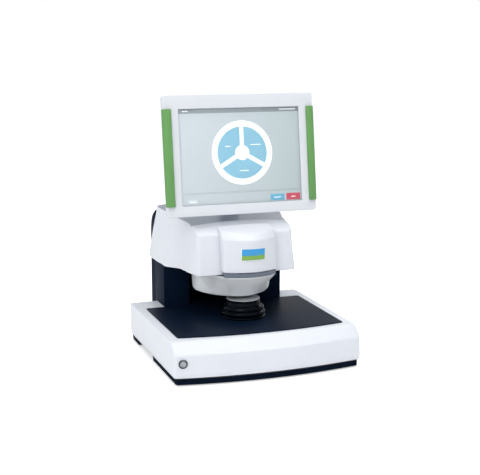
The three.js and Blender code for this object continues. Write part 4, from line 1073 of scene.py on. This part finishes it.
def makeDisplay():
    onScreen("displayPanel", viewRect(5, 1), lcdFront, lcdBack, litPanel, stands=("lcd_panel",))
    layer = 0.09
    front = lcdFront - 0.01
    disc = arc(wheel["x"], wheel["z"], wheel["radius"], 0, 357.5, 143)
    onScreen("menuWheel", disc, front - layer, front, litWhite)
    for i, start in enumerate((90, 210, 330)):
        wedge = wedgeOutline(start, start + 120)
        onScreen(f"menuWedge{i + 1}", wedge, front - 2 * layer, front - layer, litBlue)
    # Bars: left, right, low, high and colour. Dashes stand for words: left, right and height.
    bars = {"titleBar": (-124, 128, 80.6, 93.2, litGrey), "dividerUpper": (-117, 128, -72.5, -72.0, litGrey),
            "dividerLower": (-117, 128, -74.5, -74.0, litGrey),
            "statusField": (-111.5, -91.3, -93.3, -84, litPale),
            "menuKey": (58.4, 87.7, -93.5, -81, litCyan), "exitKey": (91.8, 121.3, -93.9, -80.6, litRed)}
    for name, (left, right, low, high, material) in bars.items():
        onScreen(name, roundRect(left, right, low, high, 0.2 if high - low < 1 else 1.0, 3),
                 front - layer, front, material)
    dashes = {"title": (-115.6, -103.6, 85.1), "clock": (84, 118, 85.1), "leftLabel": (-31, -20, 15.7),
              "rightLabel": (21, 42, 17.7), "lowLabel": (-3, 15, -32.3), "fieldLabel": (-108, -96, -88.9),
              "menuLabel": (66, 80, -87.5), "exitLabel": (102, 111, -87.5)}
    for name, (left, right, z) in dashes.items():
        onScreen(f"{name}Dash", roundRect(left, right, z - 0.7, z + 0.7, 0.6, 3),
                 front - 2.9 * layer, front - 1.9 * layer, litWhite)


# Each colour is given for the panel's left and right; where they differ, the lighter left is painted light.
litPanel = litSurface("litPanel", srgb(204, 212, 218), srgb(182, 195, 197), 0.08)
litWhite = litSurface("litWhite", srgb(250, 252, 253), srgb(246, 250, 251), 0.38)
litBlue = litSurface("litBlue", srgb(134, 194, 218), srgb(132, 190, 215), 0.10)
litGrey = litSurface("litGrey", srgb(148, 157, 163), srgb(128, 138, 142), 0.14)
litPale = litSurface("litPale", srgb(206, 215, 220), srgb(206, 215, 220), 0.12)
litCyan = litSurface("litCyan", srgb(88, 172, 206), srgb(88, 172, 206), 0.10)
litRed = litSurface("litRed", srgb(206, 30, 74), srgb(200, 28, 70), 0.10)
makeBezel()
makeDisplay()
onScreen("touchPane", viewRect(6.5, 2), glassFront, glassFront + screen["glass"], paneGlass, "clear_glass",
         0.15, ("touch_glass",))


def makeRearHousing():
    front = screen["face"] + screen["bezel"] + screen["gap"]
    back, wall = front + screen["rear"], screen["wall"]

    def ringAt(y, further=0.0):
        inset = np.mean([np.interp(y + s, [front, front + 8, back], [0, 0.8, screen["taper"]])
                         for s in np.linspace(-2.5, 2.5, 5)]) + further
        return flatRing(outerRect(inset, 5 + inset), y)

    soft = 4.0
    rings = [ringAt(y) for y in [front] + list(np.linspace(front + 2.5, back - soft, 12))]
    for t in np.linspace(0.2, math.pi / 2, 6):
        y = back - soft + soft * math.sin(t)
        rings.append(ringAt(y, soft * (1 - math.cos(t))))
    obj = newPiece("screenRearHousing", *skin(rings), screenPlace, sharp=30)
    within = [ringAt(y, wall) for y in np.linspace(front - 1, back - wall, 10)]
    hollow = newPiece("tool", *skin(within), screenPlace)
    slot = newPiece("item", *roundedSlab(roundRect(-3, 3, -11, 11, 3, 6), -6, 6, 0.01, "y"), small)
    slots = repeated("tool", slot, [(-48 + 12 * i, back - 1, 73) for i in range(9)], white, screenPlace,
                     first=(-screenLean, 0, 0))
    cutAway(obj, hollow, slots)
    keep(obj, "screen", "white_shell", bezelWhite, "monitor_rear_housing")
    corners = [(x, back - 0.05, z) for x in (-120, 120) for z in (-84, 84)]
    screws = repeated("housingScrews", screwItem(2.8, 1.5), corners, brushed, screenPlace,
                      first=(-math.pi / 2 - screenLean, 0, 0))
    keep(screws, "screen", "steel", None)


grip = {"length": 186.0, "drop": 3.2, "reach": 16.6, "forward": 6.5, "out": 1.5, "depth": 9.0, "end": 0.8}


def makeGrip(side, name, node):
    half, face, depth = screen["half"], screen["face"], grip["depth"]
    outer, front = half + grip["out"], screen["face"] - grip["forward"]
    innerEdge = outer - grip["reach"]
    points = [(innerEdge, face - 0.3), (innerEdge, front + 2.2), (innerEdge + 2.2, front),
              (outer - 5.5, front), (outer - 1.4, front + 3.6), (outer, face + 1),
              (outer, face + depth - 1.5),
              (outer - 0.8, face + depth), (half + 0.3, face + depth), (half + 0.3, face - 0.3)]
    radii = [0, 1.4, 1.6, 2.6, 3.0, 2.2, 0.8, 0.4, 0, 0]
    outline = roundCorners([(side * x, y) for x, y in points], radii, 5)
    low = -grip["drop"] - grip["length"] / 2
    high, end = low + grip["length"], grip["end"]
    levels = [(low, 0.45), (low + end * 0.25, 0.2), (low + end, 0.0)]
    levels += [(high - end, 0.0), (high - end * 0.25, 0.2), (high, 0.45)]
    made = [[(u, v, at) for u, v in offsetOutline(outline, inset)] for at, inset in levels]
    obj = newPiece(name, *skin(made), screenPlace, sharp=40)
    return keep(obj, "screen", "green_grip", gripGreen, node)


makeRearHousing()
makeGrip(-1, "gripLeft", "grip_left")
makeGrip(1, "gripRight", "grip_right")
print("screen done")


# Hinge and mast
eased("hinge_block", "hingeBlock", "screen", "steel", brushed, 0.8, 3, 40)
eased("tilt_pin", "tiltPin", "screen", "steel", chrome, 0.6, 3, 40)
for side in ("left", "right"):
    eased(f"friction_washer_{side}", f"washer{side.title()}", "screen", "steel", brushed, 0.2, 2, 40)
eased("monitor_mast", "screenMast", "base", "white_shell", bezelWhite, 1.8, 4, 30)


# Rear cover and its services
cover = {"half": 128.0, "front": 166.7, "back": 208.0, "low": 20.0, "high": 272.0, "wall": 2.5, "edge": 3.0,
         "neck": 177.3}
fan = {"x": -70.0, "z": 134.0, "reach": 27.0, "pitch": 8.0, "slot": 5.0, "hub": 11.0, "blades": 7}
sockets = {"usb": [(-100 + 20 * i, 52) for i in range(4)], "usbHole": (14.6, 7.6), "lan": (-18, 54),
           "lanHole": (16.6, 13.6), "mains": (74, 52), "mainsHole": (66.6, 30.6)}


def leanOfHead(z):       # the head's back, as one slope from its foot to its top
    foot, _, top = head["backY"]
    return foot + (top - foot) * (z - head["low"]) / (head["high"] - head["low"])


def makeRearCover():
    c = cover
    ledge, waist = head["low"] - 1, base["top"]
    points = [(c["front"], c["low"]), (c["back"], c["low"]), (c["back"], 231), (c["back"] - 8, 256),
              (leanOfHead(c["high"]) + 1, c["high"]), (leanOfHead(head["low"]) + 1, ledge),
              (c["neck"], ledge), (c["neck"], waist), (c["front"], waist)]
    outline = roundCorners(points, [0, 6, 14, 14, 0, 0, 0, 0, 0], 6)
    obj = newPiece("rearCover", *roundedSlab(outline, -c["half"], c["half"], c["edge"], "x", 5), sharp=30)
    inside = newPiece("tool", *roundedSlab(offsetOutline(outline, c["wall"]), -c["half"] + c["wall"],
                                           c["half"] - c["wall"], 0.5, "x", 2))
    cutAway(obj, inside)
    behind = (c["back"] - c["wall"] - 1.5, c["back"] + 1.5)
    for i in range(7):
        z = fan["z"] + fan["pitch"] * (i - 3)
        reach = math.sqrt(fan["reach"] ** 2 - (z - fan["z"]) ** 2)
        half = fan["slot"] / 2
        slot = roundRect(fan["x"] - reach, fan["x"] + reach, z - half, z + half, half - 0.05, 6)
        carve(obj, newPiece("tool", *roundedSlab(slot, *behind, 0.01, "y")))
    holes = [(*place, *sockets["usbHole"]) for place in sockets["usb"]]
    holes += [(*sockets[name], *sockets[name + "Hole"]) for name in ("lan", "mains")]
    for x, z, w, h in holes:
        hole = roundRect(x - w / 2, x + w / 2, z - h / 2, z + h / 2, 0.4, 2)
        carve(obj, newPiece("tool", *roundedSlab(hole, *behind, 0.01, "y")))
    soften(obj, 30)
    keep(obj, "base", "navy_panel", navy, "rear_cover")
    places = [(x, c["back"] - 0.05, z) for x in (-116, 0, 116) for z in (30, 214)]
    screws = repeated("coverScrews", screwItem(3.0, 1.6), places, brushed, first=(-math.pi / 2, 0, 0))
    keep(screws, "base", "steel", None)


def makeFan():
    low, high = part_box("fan_rotor")
    front, back = low.y / mm - benchShift, high.y / mm - benchShift
    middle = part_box("fan_frame")
    centreY = (middle[0].y + middle[1].y) / 2 / mm - benchShift + 2
    deep, radius, ease = back - front, fan["hub"], 1.2
    place = (benchPlace @ Matrix.Translation((fan["x"], front, fan["z"]))
             @ Matrix.Rotation(math.radians(-90), 4, "X"))
    profile = [(0, 0), (radius, 0), (radius, deep - ease), (radius - ease, deep), (0, deep)]
    hub = turnedPiece("fanHub", profile, (0, 0), 64, place, 35)
    rings = []       # the blade's sections: radius, twist in degrees and width
    for r, twist, chord in ((9.5, 50, 9.0), (13, 46, 9.6), (18, 40, 10.4), (23, 34, 10.2), (26.2, 30, 8.6)):
        lean = math.radians(twist)
        section = []
        for share in np.linspace(0, 1, 9):
            section.append((chord * (share - 0.5), 0.8 * math.sin(math.pi * share) + 0.55))
        for share in np.linspace(1, 0, 9):
            section.append((chord * (share - 0.5), 0.8 * math.sin(math.pi * share) - 0.45))
        turn, rise = math.cos(lean), math.sin(lean)
        rings.append([(r, v * turn - u * rise, u * turn + v * rise) for u, v in section])
    blade = newPiece("item", *skin(rings), small)
    blades = repeated("fanBlades", blade, [(fan["x"], centreY, fan["z"])] * fan["blades"], plasticBlack,
                      step=(0, 2 * math.pi / fan["blades"], 0))
    keep(hub, "fan", "black_plastic", plasticBlack, "fan_rotor")
    keep(blades, "fan", "black_plastic", None)
    eased("fan_frame", "fanFrame", "base", "black_plastic", plasticBlack, 0.5, 2, 40)


def makeSockets():
    back = cover["back"]
    eased("usb_sockets", "usbSockets", "base", "steel", brushed, 0.15, 2, 40)
    eased("lan_socket", "lanSocket", "base", "steel", brushed, 0.2, 2, 40)
    eased("mains_inlet", "mainsInlet", "base", "black_plastic", plasticBlack, 0.5, 3, 40)
    eased("mains_rocker", "mainsRocker", "rocker", "black_plastic", glossBlack, 0.6, 3, 30)
    section = roundRect(-5.6, 5.6, -0.9, 0.9, 0.3, 2)
    tongue = newPiece("item", *roundedSlab(section, -5.5, 5.5, 0.2, "y"), small)
    places = [(x, back - 7.2, z + 0.8) for x, z in sockets["usb"]]
    keep(repeated("usbTongues", tongue, places, plasticBlack), "base", "black_plastic", None)
    lanX, lanZ = sockets["lan"]
    section = roundRect(-0.25, 0.25, -0.2, 0.2, 0.1, 2)
    wire = newPiece("item", *roundedSlab(section, -5, 5, 0.05, "y"), small)
    wires = repeated("lanContacts", wire, [(lanX - 4.2 + 1.2 * i, back - 8, lanZ + 4.1) for i in range(8)],
                     chrome, first=(math.radians(-12), 0, 0))
    keep(wires, "base", "chrome", None)


makeRearCover()
makeFan()
makeSockets()
print("rear services done")


# Pieces that keep their own shape: the works inside
inside = {"button_switch": plasticBlack, "turntable_shaft": brushed, "spindle_bearing": casting,
          "drive_motor": plasticBlack, "drive_belt": rubberBlack, "power_supply": alu,
          "computer_board": board,
          "head_floor": darkSheet, "optics_chassis": brushed, "lamp_holder": alu, "lamp_bulb": lensGlass,
          "spectrometer_case": casting, "diffraction_grating": chrome, "detector_array": plasticBlack,
          "turntable_pulley": pulleyMetal, "motor_pulley": alu, "optical_window": lensGlass}
for node, material in inside.items():
    wear(node, material)
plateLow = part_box("base_plate")[0].z / mm
platePoints = [(x, y, plateLow) for x in (-120, 0, 120) for y in (-110, 0, 110)]
plateScrews = repeated("plateScrews", screwItem(3.2, 1.6), platePoints, brushed, first=(math.pi, 0, 0))
keep(plateScrews, "base", "steel", None)
print("works done")
